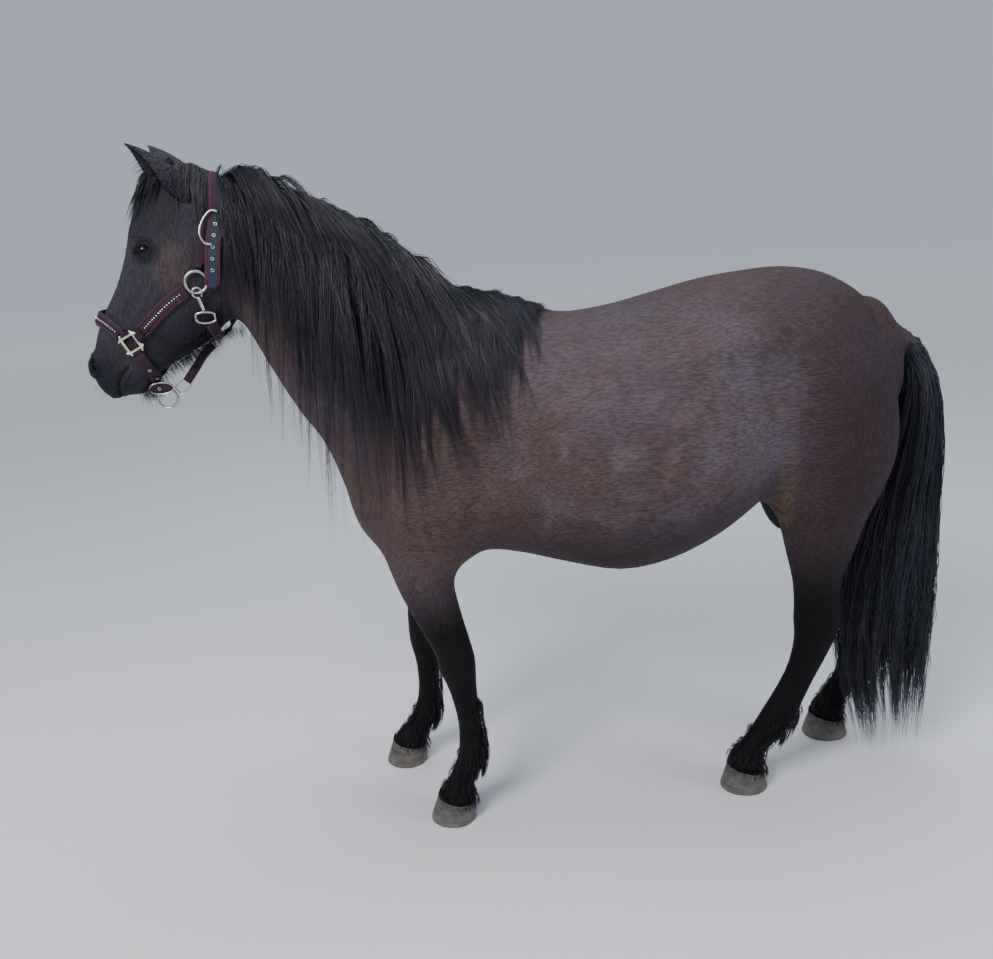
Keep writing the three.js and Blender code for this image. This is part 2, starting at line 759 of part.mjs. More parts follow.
// A rod or strap through points, with a round or flat section
function rod(points, radius, sides = 6) {
  const curve = new THREE.CatmullRomCurve3(points.map((p) => new THREE.Vector3(...p)));
  const steps = 2 * (points.length - 1);
  let normal = [0, 1, 0];
  const rings = Array.from({ length: steps + 1 }, (_, i) => {
    const here = curve.getPoint(i / steps).toArray();
    const way = curve.getTangent(i / steps).toArray();
    normal = unit(minus(normal, times(way, dot(normal, way))));
    const across = cross(way, normal);
    return Array.from({ length: sides }, (_, j) => {
      const a = (2 * Math.PI * j) / sides;
      return plus(plus(here, normal, radius * Math.cos(a)), across, radius * Math.sin(a));
    });
  });
  return ringSolid(rings);
}

// Webbing laid on the body through hand-placed points
const WEB = { width: 27, thick: 3, lift: 2 };
function strap(points, width = WEB.width, lift = WEB.lift, perPoint = 2) {
  const curve = new THREE.CatmullRomCurve3(points.map((p) => new THREE.Vector3(...p)));
  const steps = perPoint * (points.length - 1);
  const middle = Array.from({ length: steps + 1 }, (_, i) =>
    onto(bodyField, curve.getPoint(i / steps).toArray(), lift + WEB.thick / 2),
  );
  const rings = middle.map((here, i) => {
    const a = middle[Math.max(i - 1, 0)];
    const b = middle[Math.min(i + 1, steps)];
    const normal = slope(bodyField, here);
    const across = unit(cross(minus(b, a), normal));
    const corner = (u, v) => plus(plus(here, across, (u * width) / 2), normal, (v * WEB.thick) / 2);
    return [corner(-1, -1), corner(1, -1), corner(1, 1), corner(-1, 1)];
  });
  return ringSolid(rings);
}

// A metal ring lying on the body, or upright when given a normal
const RING = { radius: 18.5, wire: 2.6 };
function ring(centre, normal) {
  const torus = new THREE.TorusGeometry(RING.radius, RING.wire, 5, 14);
  const turn = new THREE.Quaternion();
  turn.setFromUnitVectors(new THREE.Vector3(0, 0, 1), new THREE.Vector3(...normal));
  torus.applyQuaternion(turn);
  torus.translate(...centre);
  return solidOfGeometry(torus);
}

const HAIR_CLEAR = 1.5; // from hair to the skin of another node that it lies over

// Numbers between 0 and 1, the same on each run
let seed = 20417;
function random() {
  seed = (seed * 1664525 + 1013904223) % 4294967296;
  return seed / 4294967296;
}
const between = (a, b) => a + (b - a) * random();

// A flat, tapered lock of hair along a path, with the way out of the body at each point
function lock(path, outs, width, thick) {
  const last = path.length - 1;
  const rings = path.map((here, i) => {
    const t = i / last;
    const way = unit(minus(path[Math.min(i + 1, last)], path[Math.max(i - 1, 0)]));
    const across = unit(cross(way, outs[i]));
    const out = cross(across, way);
    const half = (width / 2) * Math.min(0.6 + 2 * t, 1) * (1 - t ** 2.2) + 0.4;
    const deep = (thick / 2) * (1 - 0.75 * t) + 0.15;
    return [
      plus(here, across, -half),
      plus(here, out, -deep),
      plus(here, across, half),
      plus(here, out, deep),
    ];
  });
  return ringSolid(rings);
}

// A lock that leaves its root, bends to the pull of its weight and lies on the body
function lyingLock(root, first, length, lift, { width, thick, rings, sunk, pull, drift, wave }) {
  const out = slope(bodyField, root);
  const path = [plus(root, out, -sunk), plus(root, out, lift * 0.6)];
  const outs = [out, out];
  const turn = between(0, 6.28);
  let way = unit(first);
  let here = path[1];
  for (let i = 2; i < rings; i++) {
    way = unit(mix(way, [drift, 0, -1], pull));
    here = plus(here, way, length / (rings - 2));
    here = plus(here, [wave * Math.sin(turn + 1.9 * i), 0, 0]);
    const deep = bodyField(here) - lift;
    const rise = slope(bodyField, here);
    here = plus(here, rise, deep < 0 ? -deep : -0.4 * Math.min(deep, 25));
    path.push(here);
    outs.push(slope(bodyField, here));
  }
  return lock(path, outs, width, thick);
}

// Mane: rows of locks from the crest over the left side of the neck
const CREST = [
  [-408, 1275],
  [-340, 1232],
  [-260, 1170],
  [-170, 1096],
  [-80, 1030],
  [10, 1000],
  [62, 994],
];
const MANE_LENGTH = [300, 390, 420, 370, 320, 250, 150];
const MANE_ROWS = [
  { count: 10, y: -14, lift: 8, longer: 1.06 },
  { count: 9, y: 2, lift: 21, longer: 0.92 },
];
const MANE_STEP = 6.5; // between the lifts of neighbours in a row
const MANE_LOCK = { width: 64, thick: 4.5, rings: 7, sunk: 20, pull: 0.5, drift: 0.1, wave: 4 };
const MANE_CUT = { at: plus(HEAD_CUT.at, HEAD_CUT.beyond, 16), beyond: HEAD_CUT.beyond };

function makeMane() {
  const made = [];
  const rows = CREST.map(([x, z], i) => [x, 0, z, MANE_LENGTH[i]]);
  const curve = smoothRows(rows, 4);
  for (const { count, y, lift, longer } of MANE_ROWS) {
    for (let i = 0; i < count; i++) {
      const t = ((i + between(0.2, 0.8)) / count) * (curve.length - 1);
      const [x, , z, length] = mix(curve[Math.floor(t)], curve[Math.ceil(t)], t % 1);
      const root = onto(bodyField, [x, y + between(-3, 3), z], 0);
      const first = [between(0.35, 0.75), -1, 0.25];
      const reach = length * longer * between(0.84, 1.05);
      made.push(lyingLock(root, first, reach, lift + MANE_STEP * (i % 2), MANE_LOCK));
    }
  }
  return beyondPlane(wasm.Manifold.union(made), MANE_CUT, 0);
}

// Forelock: short locks from between the ears over the forehead
const FORELOCK = { width: 22, thick: 4.5, rings: 5, sunk: 10, pull: 0.35, drift: -0.25, wave: 2 };
function makeForelock() {
  const made = [];
  for (let i = 0; i < 5; i++) {
    const y = -20 + 10 * i;
    const root = onto(bodyField, [-512 - 1.2 * Math.abs(y), y, 1290], 0);
    const first = [-1, 0.012 * y, 0.1];
    made.push(lyingLock(root, first, between(105, 135), 4 + 5.5 * (i % 2), FORELOCK));
  }
  return wasm.Manifold.union(made);
}

// Tail: a dock with locks that leave it all round and fall in a long brush
const TAIL = [
  [770, 0, 905, 14, 14, 14],
  [800, -2, 880, 30, 26, 26],
  [816, -4, 800, 40, 40, 34],
  [808, -6, 700, 56, 58, 42],
  [795, -8, 600, 70, 72, 46],
  [780, -10, 480, 88, 86, 48],
  [770, -12, 360, 98, 96, 48],
  [771, -12, 250, 96, 94, 46],
  [780, -12, 150, 84, 80, 42],
  [790, -12, 30, 62, 60, 32],
];
const CORE = [
  [735, 0, 902, 24, 24, 24],
  [772, 0, 905, 21, 21, 22],
  [803, -2, 872, 18, 18, 19],
  [816, -3, 800, 22, 22, 17],
  [806, -5, 700, 28, 29, 20],
  [794, -7, 600, 34, 34, 22],
  [783, -9, 500, 20, 20, 12],
];
const TAIL_LOCK = { width: 56, thick: 8, rings: 7 };
const TAIL_SHELLS = [
  { count: 8, share: 0.96, top: 872, tips: [20, 130] },
  { count: 5, share: 0.66, top: 820, tips: [25, 200] },
  { count: 2, share: 0.3, top: 620, tips: [40, 160] },
];
const BODY_CLEAR = 9;
const smoothTail = smoothRows(TAIL, 8);

function tailPlace(z, turn, share) {
  const row = smoothTail.find((r) => r[2] <= z) ?? smoothTail[smoothTail.length - 1];
  const reach = Math.cos(turn) > 0 ? row[3] : row[4];
  return [row[0] + share * reach * Math.cos(turn), row[1] + share * row[5] * Math.sin(turn), z];
}

function tailLock(turn, share, top, tip, phase) {
  const path = [];
  const outs = [];
  for (let r = 0; r < TAIL_LOCK.rings; r++) {
    const t = r / (TAIL_LOCK.rings - 1);
    const z = top + (tip - top) * t;
    const spread = Math.min(1, 0.1 + 4.5 * t) * share;
    const swing = 0.1 * Math.sin(phase + 7 * t) * t;
    let here = tailPlace(z, turn + swing, spread);
    here = plus(here, [6 * Math.sin(phase + 12 * t) * Math.min(1, 2 * t), 0, 0]);
    const near = bodyField(here) - BODY_CLEAR;
    if (r > 1 && near < 0) here = plus(here, slope(bodyField, here), -near);
    path.push(here);
    outs.push(unit([Math.cos(turn), 2 * Math.sin(turn), 0.12]));
  }
  return lock(path, outs, TAIL_LOCK.width * between(0.85, 1.1), TAIL_LOCK.thick);
}

function makeTail(torso) {
  const core = netSolid(loftField(CORE), [690, -50, 470], [860, 50, 950], [13, 12, 20], 0.4);
  const made = [core];
  for (const { count, share, top, tips } of TAIL_SHELLS) {
    for (let i = 0; i < count; i++) {
      const turn = (2 * Math.PI * (i + between(0.3, 0.7))) / count;
      const phase = 6 * share + between(0, 0.5);
      made.push(tailLock(turn, share, top + between(-18, 12), between(...tips), phase));
    }
  }
  const whole = wasm.Manifold.union(made);
  const apart = unit([1, 0, 0.35]);
  return whole.subtract(torso).subtract(torso.translate(times(apart, GAP)));
}

// Feather: tufts behind and beside each fetlock
const FEATHER = { count: 4, width: 27, thick: 4, sunk: 7, reach: [29, 26] };
const FETLOCKS = [
  [-92, -112, 142],
  [-192, 110, 122],
  [516, -86, 146],
  [727, 86, 142],
];

function makeFeather([x, y, z]) {
  const made = [];
  for (let i = 0; i < FEATHER.count; i++) {
    const turn = ((i - 1.5) * 46 * Math.PI) / 180;
    const out = [Math.cos(turn), Math.sin(turn), 0];
    const rise = between(-6, 10);
    const root = [x + FEATHER.reach[0] * out[0], y + FEATHER.reach[1] * out[1], z + rise];
    const length = between(58, 72) * (0.7 + 0.3 * Math.cos(turn));
    const path = [-FEATHER.sunk, 9, 17, 13].map((away, k) => {
      const t = k / 3;
      return plus(plus(root, out, away), [0, 0, -1], length * t ** 1.4);
    });
    made.push(lock(path, path.map(() => out), FEATHER.width, FEATHER.thick));
  }
  return wasm.Manifold.union(made);
}

// Headcollar. Places are on the left side and are mirrored for the right.
const CROWN = [
  [-469, -70, 1076],
  [-457, -68, 1138],
  [-447, -66, 1181],
  [-439, -64, 1222],
  [-434, -50, 1262],
  [-431, -22, 1290],
  [-430, 0, 1296],
];
const CHEEK_STRAP = [
  [-486, -75, 1113],
  [-480, -73, 1134],
  [-470, -72, 1158],
  [-461, -70, 1178],
];
const RING_AT = [-493, -76, 1089];
const CHEEKPIECE = [
  [-512, -74, 1076],
  [-535, -72, 1062],
  [-560, -70, 1044],
  [-585, -66, 1025],
  [-606, -62, 1009],
];
const SQUARE = { at: [-630, -54, 990], half: 19, wire: 5, thick: 4 };
const NOSEBAND = [
  [-648, -50, 1006],
  [-662, -46, 1020],
  [-684, -36, 1032],
  [-697, -16, 1036],
  [-700, 0, 1036],
];
const LOWER_STRAP = [
  [-622, -48, 968],
  [-614, -44, 948],
  [-606, -36, 924],
  [-600, -22, 908],
  [-598, 0, 902],
];
const THROAT_STRAP = [
  [-485, -66, 1020],
  [-482, -58, 1000],
  [-480, -40, 980],
  [-478, -20, 970],
  [-478, 0, 968],
];
const SNAP = [
  [-492, -80, 1064],
  [-489, -80, 1052],
  [-486, -78, 1040],
];
const JAW_STRAP = [
  [-497, 0, 962],
  [-515, 0, 948],
  [-535, 0, 934],
  [-556, 0, 918],
  [-578, 0, 903],
];
const NARROW = 17;

const mirror = (points) => points.map(([x, y, z]) => [x, -y, z]);
const across = (points) => [...points, ...mirror(points).reverse().slice(1)];
const onSide = (points, side) => (side < 0 ? points : mirror(points));

// A square fitting turned on its corner, lying on the cheek
function squareFitting(side) {
  const [at] = onSide([SQUARE.at], side);
  const centre = onto(bodyField, at, WEB.lift + SQUARE.thick / 2 + 1.5);
  const out = slope(bodyField, centre);
  const down = unit(minus([-0.35, 0, -0.94], times(out, dot([-0.35, 0, -0.94], out))));
  const over = cross(out, down);
  const corners = [];
  for (let i = 0; i < 12; i++) {
    const turn = (2 * Math.PI * (i + 0.5)) / 12;
    const stretch = 1 / (Math.abs(Math.cos(turn)) ** 5 + Math.abs(Math.sin(turn)) ** 5) ** 0.2;
    corners.push([stretch * Math.cos(turn), stretch * Math.sin(turn)]);
  }
  const rings = corners.map(([u, v]) => {
    const place = (r, h) => plus(plus(plus(centre, down, u * r), over, v * r), out, h);
    const [inner, outer] = [SQUARE.half - SQUARE.wire, SQUARE.half];
    const h = SQUARE.thick / 2;
    return [place(inner, -h), place(outer, -h), place(outer, h), place(inner, h)];
  });
  return closedTube(rings);
}

function flatRing(side) {
  const [at] = onSide([RING_AT], side);
  const centre = onto(bodyField, at, RING.wire + 1.5);
  return ring(centre, slope(bodyField, centre));
}

// Plate under the chin that carries the lead ring
function chinPlate() {
  const shape = new THREE.Shape();
  shape.absellipse(0, 0, 22, 10, 0, 2 * Math.PI);
  const plate = new THREE.ExtrudeGeometry(shape, { depth: 4, bevelEnabled: false, curveSegments: 8 });
  plate.translate(-600, 0, 893.3);
  return solidOfGeometry(plate);
}

const torso = makeTorso();
const head = makeHead();
addNode("torso", torso, coats.body);
const torsoRoom = makeTorso(HAIR_CLEAR);
addNode("neck", largest(makeNeck().add(makeMane().subtract(torsoRoom))), coats.body);
const ears = SIDES.map(([, side]) => {
  const way = [EAR.tip[0] - EAR.base[0], side * (EAR.tip[1] - EAR.base[1]), EAR.tip[2] - EAR.base[2]];
  return largest(makeEar(side).subtract(head).subtract(head.translate(times(unit(way), GAP))));
});
addNode("head", largest(head.add(makeForelock()).subtract(ears[0]).subtract(ears[1])), coats.body);
SIDES.forEach(([name, side], i) => {
  addNode("ear_" + name, ears[i], coats.body);
  addNode("eye_" + name, eyeBall(side, EYE.radius), coats.eye);
});
LEGS.forEach((leg, i) => {
  const end = leg.name + "_";
  addNode(end + "leg_" + leg.side, makeLeg(leg), coats.leg);
  addNode(end + "cannon_" + leg.side, largest(makeCannon(leg).add(makeFeather(FETLOCKS[i]))), coats.leg);
  addNode(end + "hoof_" + leg.side, makeHoof(leg), coats.hoof);
});
addNode("tail", largest(makeTail(torso)), coats.hair);

addNode("halter_crown", strap(across(CROWN), WEB.width, 7), coats.strap);
addNode("halter_throat", strap(across(THROAT_STRAP), 20, 3), coats.strap);
addNode("halter_noseband", strap(across(NOSEBAND), WEB.width, 3), coats.strap);
addNode("halter_chin", strap(across(LOWER_STRAP), 22, 3), coats.strap);
addNode("halter_jaw", strap(JAW_STRAP, NARROW, 4), coats.strap);
addNode("halter_chin_plate", chinPlate(), coats.metal);
addNode("halter_lead_ring", ring([-600, 0, 871.6], [0, 1, 0]), coats.metal);
for (const [name, side] of SIDES) {
  addNode("halter_cheek_" + name, strap(onSide(CHEEK_STRAP, side), 20, 1.5), coats.strap);
  addNode("halter_cheekpiece_" + name, strap(onSide(CHEEKPIECE, side)), coats.strap);
  addNode("halter_ring_" + name, flatRing(side), coats.metal);
  addNode("halter_square_" + name, squareFitting(side), coats.metal);
  const hook = onSide(SNAP, side).map((p) => onto(bodyField, p, 6));
  addNode("halter_snap_" + name, rod(hook, 4), coats.metal);
}

export default group;
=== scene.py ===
"""A life-size Shetland pony in a headcollar: skin, coat, mane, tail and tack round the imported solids."""

import bmesh
import bpy
import numpy as np
from mathutils import Matrix


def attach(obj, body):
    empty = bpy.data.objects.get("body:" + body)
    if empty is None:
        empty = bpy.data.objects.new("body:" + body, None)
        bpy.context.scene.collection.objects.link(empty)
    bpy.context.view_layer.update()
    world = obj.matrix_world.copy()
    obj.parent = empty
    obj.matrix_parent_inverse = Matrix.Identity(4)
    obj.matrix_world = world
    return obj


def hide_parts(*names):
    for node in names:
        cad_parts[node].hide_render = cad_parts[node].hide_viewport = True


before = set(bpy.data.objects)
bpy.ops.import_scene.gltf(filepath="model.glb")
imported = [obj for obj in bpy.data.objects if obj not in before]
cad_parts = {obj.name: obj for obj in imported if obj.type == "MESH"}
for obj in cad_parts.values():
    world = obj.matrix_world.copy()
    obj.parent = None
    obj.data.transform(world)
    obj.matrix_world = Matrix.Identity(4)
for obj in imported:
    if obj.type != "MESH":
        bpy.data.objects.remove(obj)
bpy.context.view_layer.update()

# Body tables, in millimetres, measured from a point 66 mm ahead of the middle of the pony's length
MIDDLE = np.array([66.0, 0.0, 0.0])
MM = 0.001
SIDES = (("left", -1), ("right", 1))

# Sections of the trunk, in upright planes: x, y, z, reach up, reach down, half width
TRUNK = [
    (-165, 0, 690, 135, 120, 120), (-110, 0, 700, 195, 146, 150), (-40, 0, 703, 255, 160, 178),
    (40, 0, 704, 286, 174, 208), (130, 0, 700, 279, 194, 240), (220, 0, 698, 286, 212, 255),
    (310, 0, 704, 298, 204, 254), (400, 0, 716, 306, 174, 238), (480, 0, 732, 300, 128, 214),
    (550, 0, 752, 283, 100, 196), (615, 0, 776, 246, 95, 168), (664, 0, 800, 196, 100, 128),
    (700, 0, 818, 150, 90, 84)]
# Sections square to a curved middle line: x, y, z, reach up or back, reach down or ahead, half width
NECK = [
    (-425, 0, 1143, 100, 84, 58), (-355, 0, 1080, 146, 114, 64), (-280, 0, 990, 182, 146, 80),
    (-200, 0, 895, 196, 172, 102), (-90, 0, 800, 200, 190, 132)]
HEAD = [
    (-492, 0, 1222, 76, 84, 58), (-525, 0, 1165, 90, 91, 74), (-555, 0, 1105, 112, 82, 80),
    (-585, 0, 1050, 118, 80, 68), (-615, 0, 1000, 86, 84, 54), (-645, 0, 955, 52, 81, 46),
    (-672, 0, 928, 42, 68, 46), (-690, 0, 914, 32, 42, 38)]
FORE_LEFT = [
    (-135, -105, 640, 75, 85, 70), (-142, -110, 560, 58, 68, 60), (-142, -112, 500, 50, 55, 50),
    (-124, -112, 430, 42, 46, 40), (-108, -112, 370, 38, 38, 36), (-103, -112, 335, 38, 38, 37),
    (-97, -112, 285, 30, 28, 27), (-90, -112, 210, 26, 24, 20), (-92, -112, 140, 31, 27, 28),
    (-112, -112, 90, 27, 26, 26), (-125, -112, 52, 38, 36, 37)]
FORE_RIGHT = [
    (-135, 105, 640, 75, 85, 70), (-142, 110, 560, 58, 68, 60), (-155, 110, 490, 50, 52, 49),
    (-168, 110, 400, 42, 42, 40), (-176, 110, 330, 39, 38, 36), (-178, 110, 285, 38, 36, 34),
    (-180, 110, 235, 28, 26, 25), (-183, 110, 170, 26, 24, 20), (-192, 110, 120, 31, 27, 28),
    (-215, 110, 80, 27, 26, 26), (-232, 110, 50, 38, 36, 37)]
HIND_LEFT = [
    (588, -95, 820, 104, 118, 98), (592, -105, 730, 124, 104, 100), (592, -110, 650, 108, 84, 90),
    (590, -112, 560, 70, 68, 66), (590, -108, 480, 46, 50, 44), (594, -102, 415, 46, 48, 35),
    (597, -98, 365, 46, 50, 37), (588, -94, 310, 37, 40, 29), (563, -90, 240, 32, 32, 22),
    (516, -86, 145, 36, 32, 29), (480, -84, 95, 28, 27, 26), (462, -82, 56, 40, 38, 37)]
HIND_RIGHT = [
    (588, 95, 820, 104, 118, 98), (596, 105, 730, 124, 104, 100), (612, 110, 650, 106, 90, 90),
    (645, 112, 560, 72, 72, 66), (690, 106, 480, 48, 50, 44), (728, 100, 420, 44, 44, 35),
    (746, 96, 370, 44, 46, 37), (745, 92, 315, 36, 36, 29), (738, 89, 240, 30, 27, 22),
    (728, 86, 140, 34, 30, 29), (700, 86, 95, 28, 27, 26), (684, 86, 56, 40, 38, 37)]
# Masses of muscle and bone, alike on both sides: x, y, z, radii, lean in degrees, blend
MUSCLES = [
    (-100, 105, 770, 72, 62, 165, 24, 70), (-92, 116, 640, 70, 52, 84, 0, 45),
    (-196, 80, 676, 56, 56, 70, 0, 50), (-206, 42, 640, 50, 42, 64, 0, 40),
    (550, 100, 855, 140, 82, 92, 0, 70), (615, 110, 735, 92, 74, 128, 0, 60),
    (530, 112, 652, 44, 52, 66, -20, 40), (598, 112, 560, 54, 48, 90, 0, 40),
    (468, 156, 922, 50, 34, 36, 0, 60)]
FACE = [
    (-522, 60, 1050, 62, 22, 74, 12, 20), (-572, 54, 1170, 30, 24, 13, 30, 14),
    (-604, 52, 1092, 12, 13, 44, 38, 16), (-710, 25, 952, 16, 16, 24, 20, 12),
    (-652, 0, 906, 26, 24, 17, 0, 12)]
# The fleshy dock inside the tail's hair: x, y, z, reach up, reach down, half width
DOCK = [
    (700, 0, 866, 24, 24, 26), (738, 0, 880, 21, 22, 23), (768, 0, 882, 19, 20, 21),
    (797, -2, 856, 16, 17, 18), (812, -3, 800, 12, 13, 14), (812, -4, 735, 8, 8, 9)]
EYE = {"at": (-575, 58, 1147), "radius": 18}
COAT_DEPTH = 2.0
# How softly the forms run into each other, and the x where the head ends, the dock starts and the face ends
BLEND = {"neck": 90, "leg": 45, "head": 40, "dock": 26}
HEAD_ENDS = -300
DOCK_STARTS = 640
FACE_ENDS = -600


# Forms as fields: below zero inside, and about in millimetres near the surface
def between(a, b, c, d, t):
    """The place at t on the smooth curve from b to c, where a comes before them and d after."""
    curve, twist = 2 * a - 5 * b + 4 * c - d, 3 * b - a - 3 * c + d
    return (2 * b + (c - a) * t + curve * t ** 2 + twist * t ** 3) / 2


def smooth_rows(rows, steps):
    s = np.array(rows, float)
    p = np.vstack([2 * s[0] - s[1], s, 2 * s[-1] - s[-2]])
    fours = zip(p[:-3], p[1:-2], p[2:-1], p[3:])
    made = [between(*four, t) for four in fours for t in np.arange(steps) / steps]
    return np.array(made + [s[-1]])


def unit(v):
    return v / np.maximum(np.linalg.norm(v, axis=-1, keepdims=True), 1e-9)


def columns(*values):
    """Arrays and numbers side by side, as the rows of one array."""
    return np.stack(np.broadcast_arrays(*values), -1)


def turns(count):
    """Angles evenly round a circle."""
    return np.linspace(0, 2 * np.pi, count, endpoint=False)


def travelled(line):
    """How far along a line each of its points lies."""
    return np.concatenate([[0], np.cumsum(np.linalg.norm(np.diff(line, axis=0), axis=1))])


FAR = 9000.0
MARGIN = 70


def loft(rows, power=2.0, upright=False):
    """The field of a form of changing oval section, which is FAR where the form is out of reach."""
    st = smooth_rows(rows, 3)
    along = np.tile([1.0, 0, 0], (len(st), 1)) if upright else unit(np.gradient(st[:, :3], axis=0))
    up = unit(np.stack([-along[:, 2], 0 * along[:, 0], along[:, 0]], 1))
    offset = (st[:, :3] * along).sum(1)
    reach = st[:, 3:].max(1, keepdims=True) + MARGIN
    low, high = (st[:, :3] - reach).min(0), (st[:, :3] + reach).max(0)

    def section(points, row, normal, w):
        q = points - row[:, :3]
        u = (q * normal).sum(1)
        ru = np.where(u > 0, row[:, 3], row[:, 4])
        least = row[:, 3:].min(1)
        k = np.abs(u / ru) ** power + np.abs(q[:, 1] / row[:, 5]) ** power
        k = k + np.abs(w / (0.9 * least)) ** power
        return (k ** (1 / power) - 1) * least

    def field(points):
        out = np.full(len(points), FAR)
        near = np.flatnonzero(((points > low) & (points < high)).all(1))
        P = points[near]
        S = P @ along.T - offset
        best = np.full(len(P), FAR)
        for i in range(len(st) - 1):
            m = np.flatnonzero((S[:, i] >= 0) & (S[:, i + 1] < 0))
            t = (S[m, i] / (S[m, i] - S[m, i + 1]))[:, None]
            row = st[i] + t * (st[i + 1] - st[i])
            best[m] = np.minimum(best[m], section(P[m], row, up[i] + t * (up[i + 1] - up[i]), 0.0))
        for i, m in ((0, S[:, 0] < 0), (-1, S[:, -1] >= 0)):
            m = np.flatnonzero(m)
            row = np.repeat(st[[i]], len(m), 0)
            best[m] = np.minimum(best[m], section(P[m], row, np.repeat(up[[i]], len(m), 0), S[m, i]))
        out[near] = best
        return out

    return field


def soft(a, b, k):
    """Two fields joined with a soft valley of width k between them."""
    h = np.maximum(k - np.abs(a - b), 0) / k
    return np.minimum(a, b) - h * h * k / 4


def mass(points, x, y, z, rx, ry, rz, lean=0.0):
    q = points - np.array([x, y, z])
    c, s = np.cos(np.radians(lean)), np.sin(np.radians(lean))
    a, b = (q[:, 0] * c - q[:, 2] * s) / rx, (q[:, 0] * s + q[:, 2] * c) / rz
    return (np.sqrt(a * a + (q[:, 1] / ry) ** 2 + b * b) - 1) * min(rx, ry, rz)


trunk_form, neck_form, head_form = loft(TRUNK, 2.12, True), loft(NECK, 2.1), loft(HEAD, 2.3)
dock_form = loft(DOCK)
limb_forms = [loft(rows) for rows in (FORE_LEFT, FORE_RIGHT, HIND_LEFT, HIND_RIGHT)]


def with_masses(d, points, masses):
    """A field joined softly with masses on both sides."""
    for x, y, *rest, blend in masses:
        for side in (-1, 1):
            d = soft(d, mass(points, x, side * y, *rest), blend)
    return d


def plain_body(points):
    """The body as the solids have it."""
    d = soft(trunk_form(points), neck_form(points), BLEND["neck"])
    for limb in limb_forms:
        d = soft(d, limb(points), BLEND["leg"])
    d = with_masses(d, points, MUSCLES)
    fore = points[:, 0] < HEAD_ENDS
    near = points[fore]
    d[fore] = soft(d[fore], with_masses(head_form(near), near, FACE), BLEND["head"])
    return d


def in_parts(field, points, most=150000):
    return np.concatenate([field(points[i:i + most]) for i in range(0, len(points), most)])


def line_distance(u, v, line):
    """Distance in a plane from points (u, v) to a line of corners, and how far along it they lie."""
    best, where = np.full(u.shape, 1e9), np.zeros(u.shape)
    for i, (a, b) in enumerate(zip(line[:-1], line[1:])):
        a, b = np.array(a, float), np.array(b, float)
        t = np.clip(((u - a[0]) * (b - a)[0] + (v - a[1]) * (b - a)[1]) / ((b - a) ** 2).sum(), 0, 1)
        d = np.hypot(u - a[0] - t * (b - a)[0], v - a[1] - t * (b - a)[1])
        where = np.where(d < best, (i + t) / (len(line) - 1), where)
        best = np.minimum(best, d)
    return best, where


# Creases and ridges on each side, as lines in x and z: depth (below zero raises), width, the points
SIDE_LINES = [
    (5, 22, [(-60, 600), (-40, 680), (-28, 770)]),          # behind the elbow
    (4, 30, [(-160, 800), (-130, 860), (-80, 930)]),        # before the shoulder blade
    (-3, 24, [(-190, 690), (-130, 790), (-62, 920)]),       # spine of the shoulder blade
    (6, 34, [(520, 600), (500, 690), (490, 780)]),          # fold of the flank
    (5, 60, [(395, 860), (470, 850)]),                      # hollow of the flank
    (-5, 26, [(440, 925), (500, 935)]),                     # point of the hip
    (4, 26, [(640, 830), (690, 720), (676, 620)]),          # between the muscles of the thigh
    (-2, 16, [(420, 925), (300, 900), (200, 890)]),         # edge of the loin
    (3, 14, [(-470, 1075), (-495, 1020), (-520, 985)]),     # under the jaw's edge
    (-2.2, 7, [(-560, 1100), (-590, 1062), (-612, 1040)]),  # ridge of the face
    (-1.2, 4, [(-552, 1112), (-585, 1032), (-626, 1008)]),  # vein of the face
    (1.6, 8, [(-585, 1120), (-610, 1066), (-640, 1016)]),   # hollow beside the nose
    (-1.5, 5, [(-540, 1195), (-515, 1160), (-505, 1120)]),  # edge of the temple
]
MOUTH = [(-690, 880), (-680, 890), (-677, 902), (-670, 920), (-659, 935), (-646, 945)]
NOSTRIL = np.array([-715, 37, 953])


def side_lines(points):
    carve = np.zeros(len(points))
    outer = np.clip(np.abs(points[:, 1]) / 30, 0, 1)
    for depth, width, line in SIDE_LINES:
        d, t = line_distance(points[:, 0], points[:, 2], line)
        fade = np.clip(4 * t + 0.3, 0, 1) * np.clip(4 * (1 - t) + 0.3, 0, 1)
        carve += depth * fade * outer * np.exp(-(d / width) ** 2)
    return carve


def ribs(points):
    """The ribs show faintly through the side of the barrel."""
    x, z = points[:, 0], points[:, 2]
    where = np.exp(-((x - 190) / 120) ** 2 - ((z - 700) / 110) ** 2)
    return 0.5 * where * np.sin((x + 0.25 * (z - 700)) / 6.4)


def tendons(points):
    """Hollows between the cannon bone and the tendon behind it, on the sides of each leg."""
    carve = np.zeros(len(points))
    for rows, centre in ((FORE_LEFT, 220), (FORE_RIGHT, 190), (HIND_LEFT, 215), (HIND_RIGHT, 230)):
        line = np.array(rows, float)
        level = np.argsort(line[:, 2])
        x = np.interp(points[:, 2], line[level, 2], line[level, 0]) + 6
        y = np.interp(points[:, 2], line[level, 2], line[level, 1])
        near = np.exp(-((points[:, 0] - x) / 7) ** 2) * (np.abs(points[:, 1] - y) < 60)
        carve += 3.5 * near * np.exp(-((points[:, 2] - centre) / 62) ** 2)
    return carve


def mouth_and_lips(points):
    d, t = line_distance(points[:, 0], points[:, 2], MOUTH)
    ahead = np.clip((-640 - points[:, 0]) / 12, 0, 1)
    return ahead * (4.5 * np.exp(-(d / 2.4) ** 2) - 1.6 * np.exp(-((d - 8) / 5) ** 2))


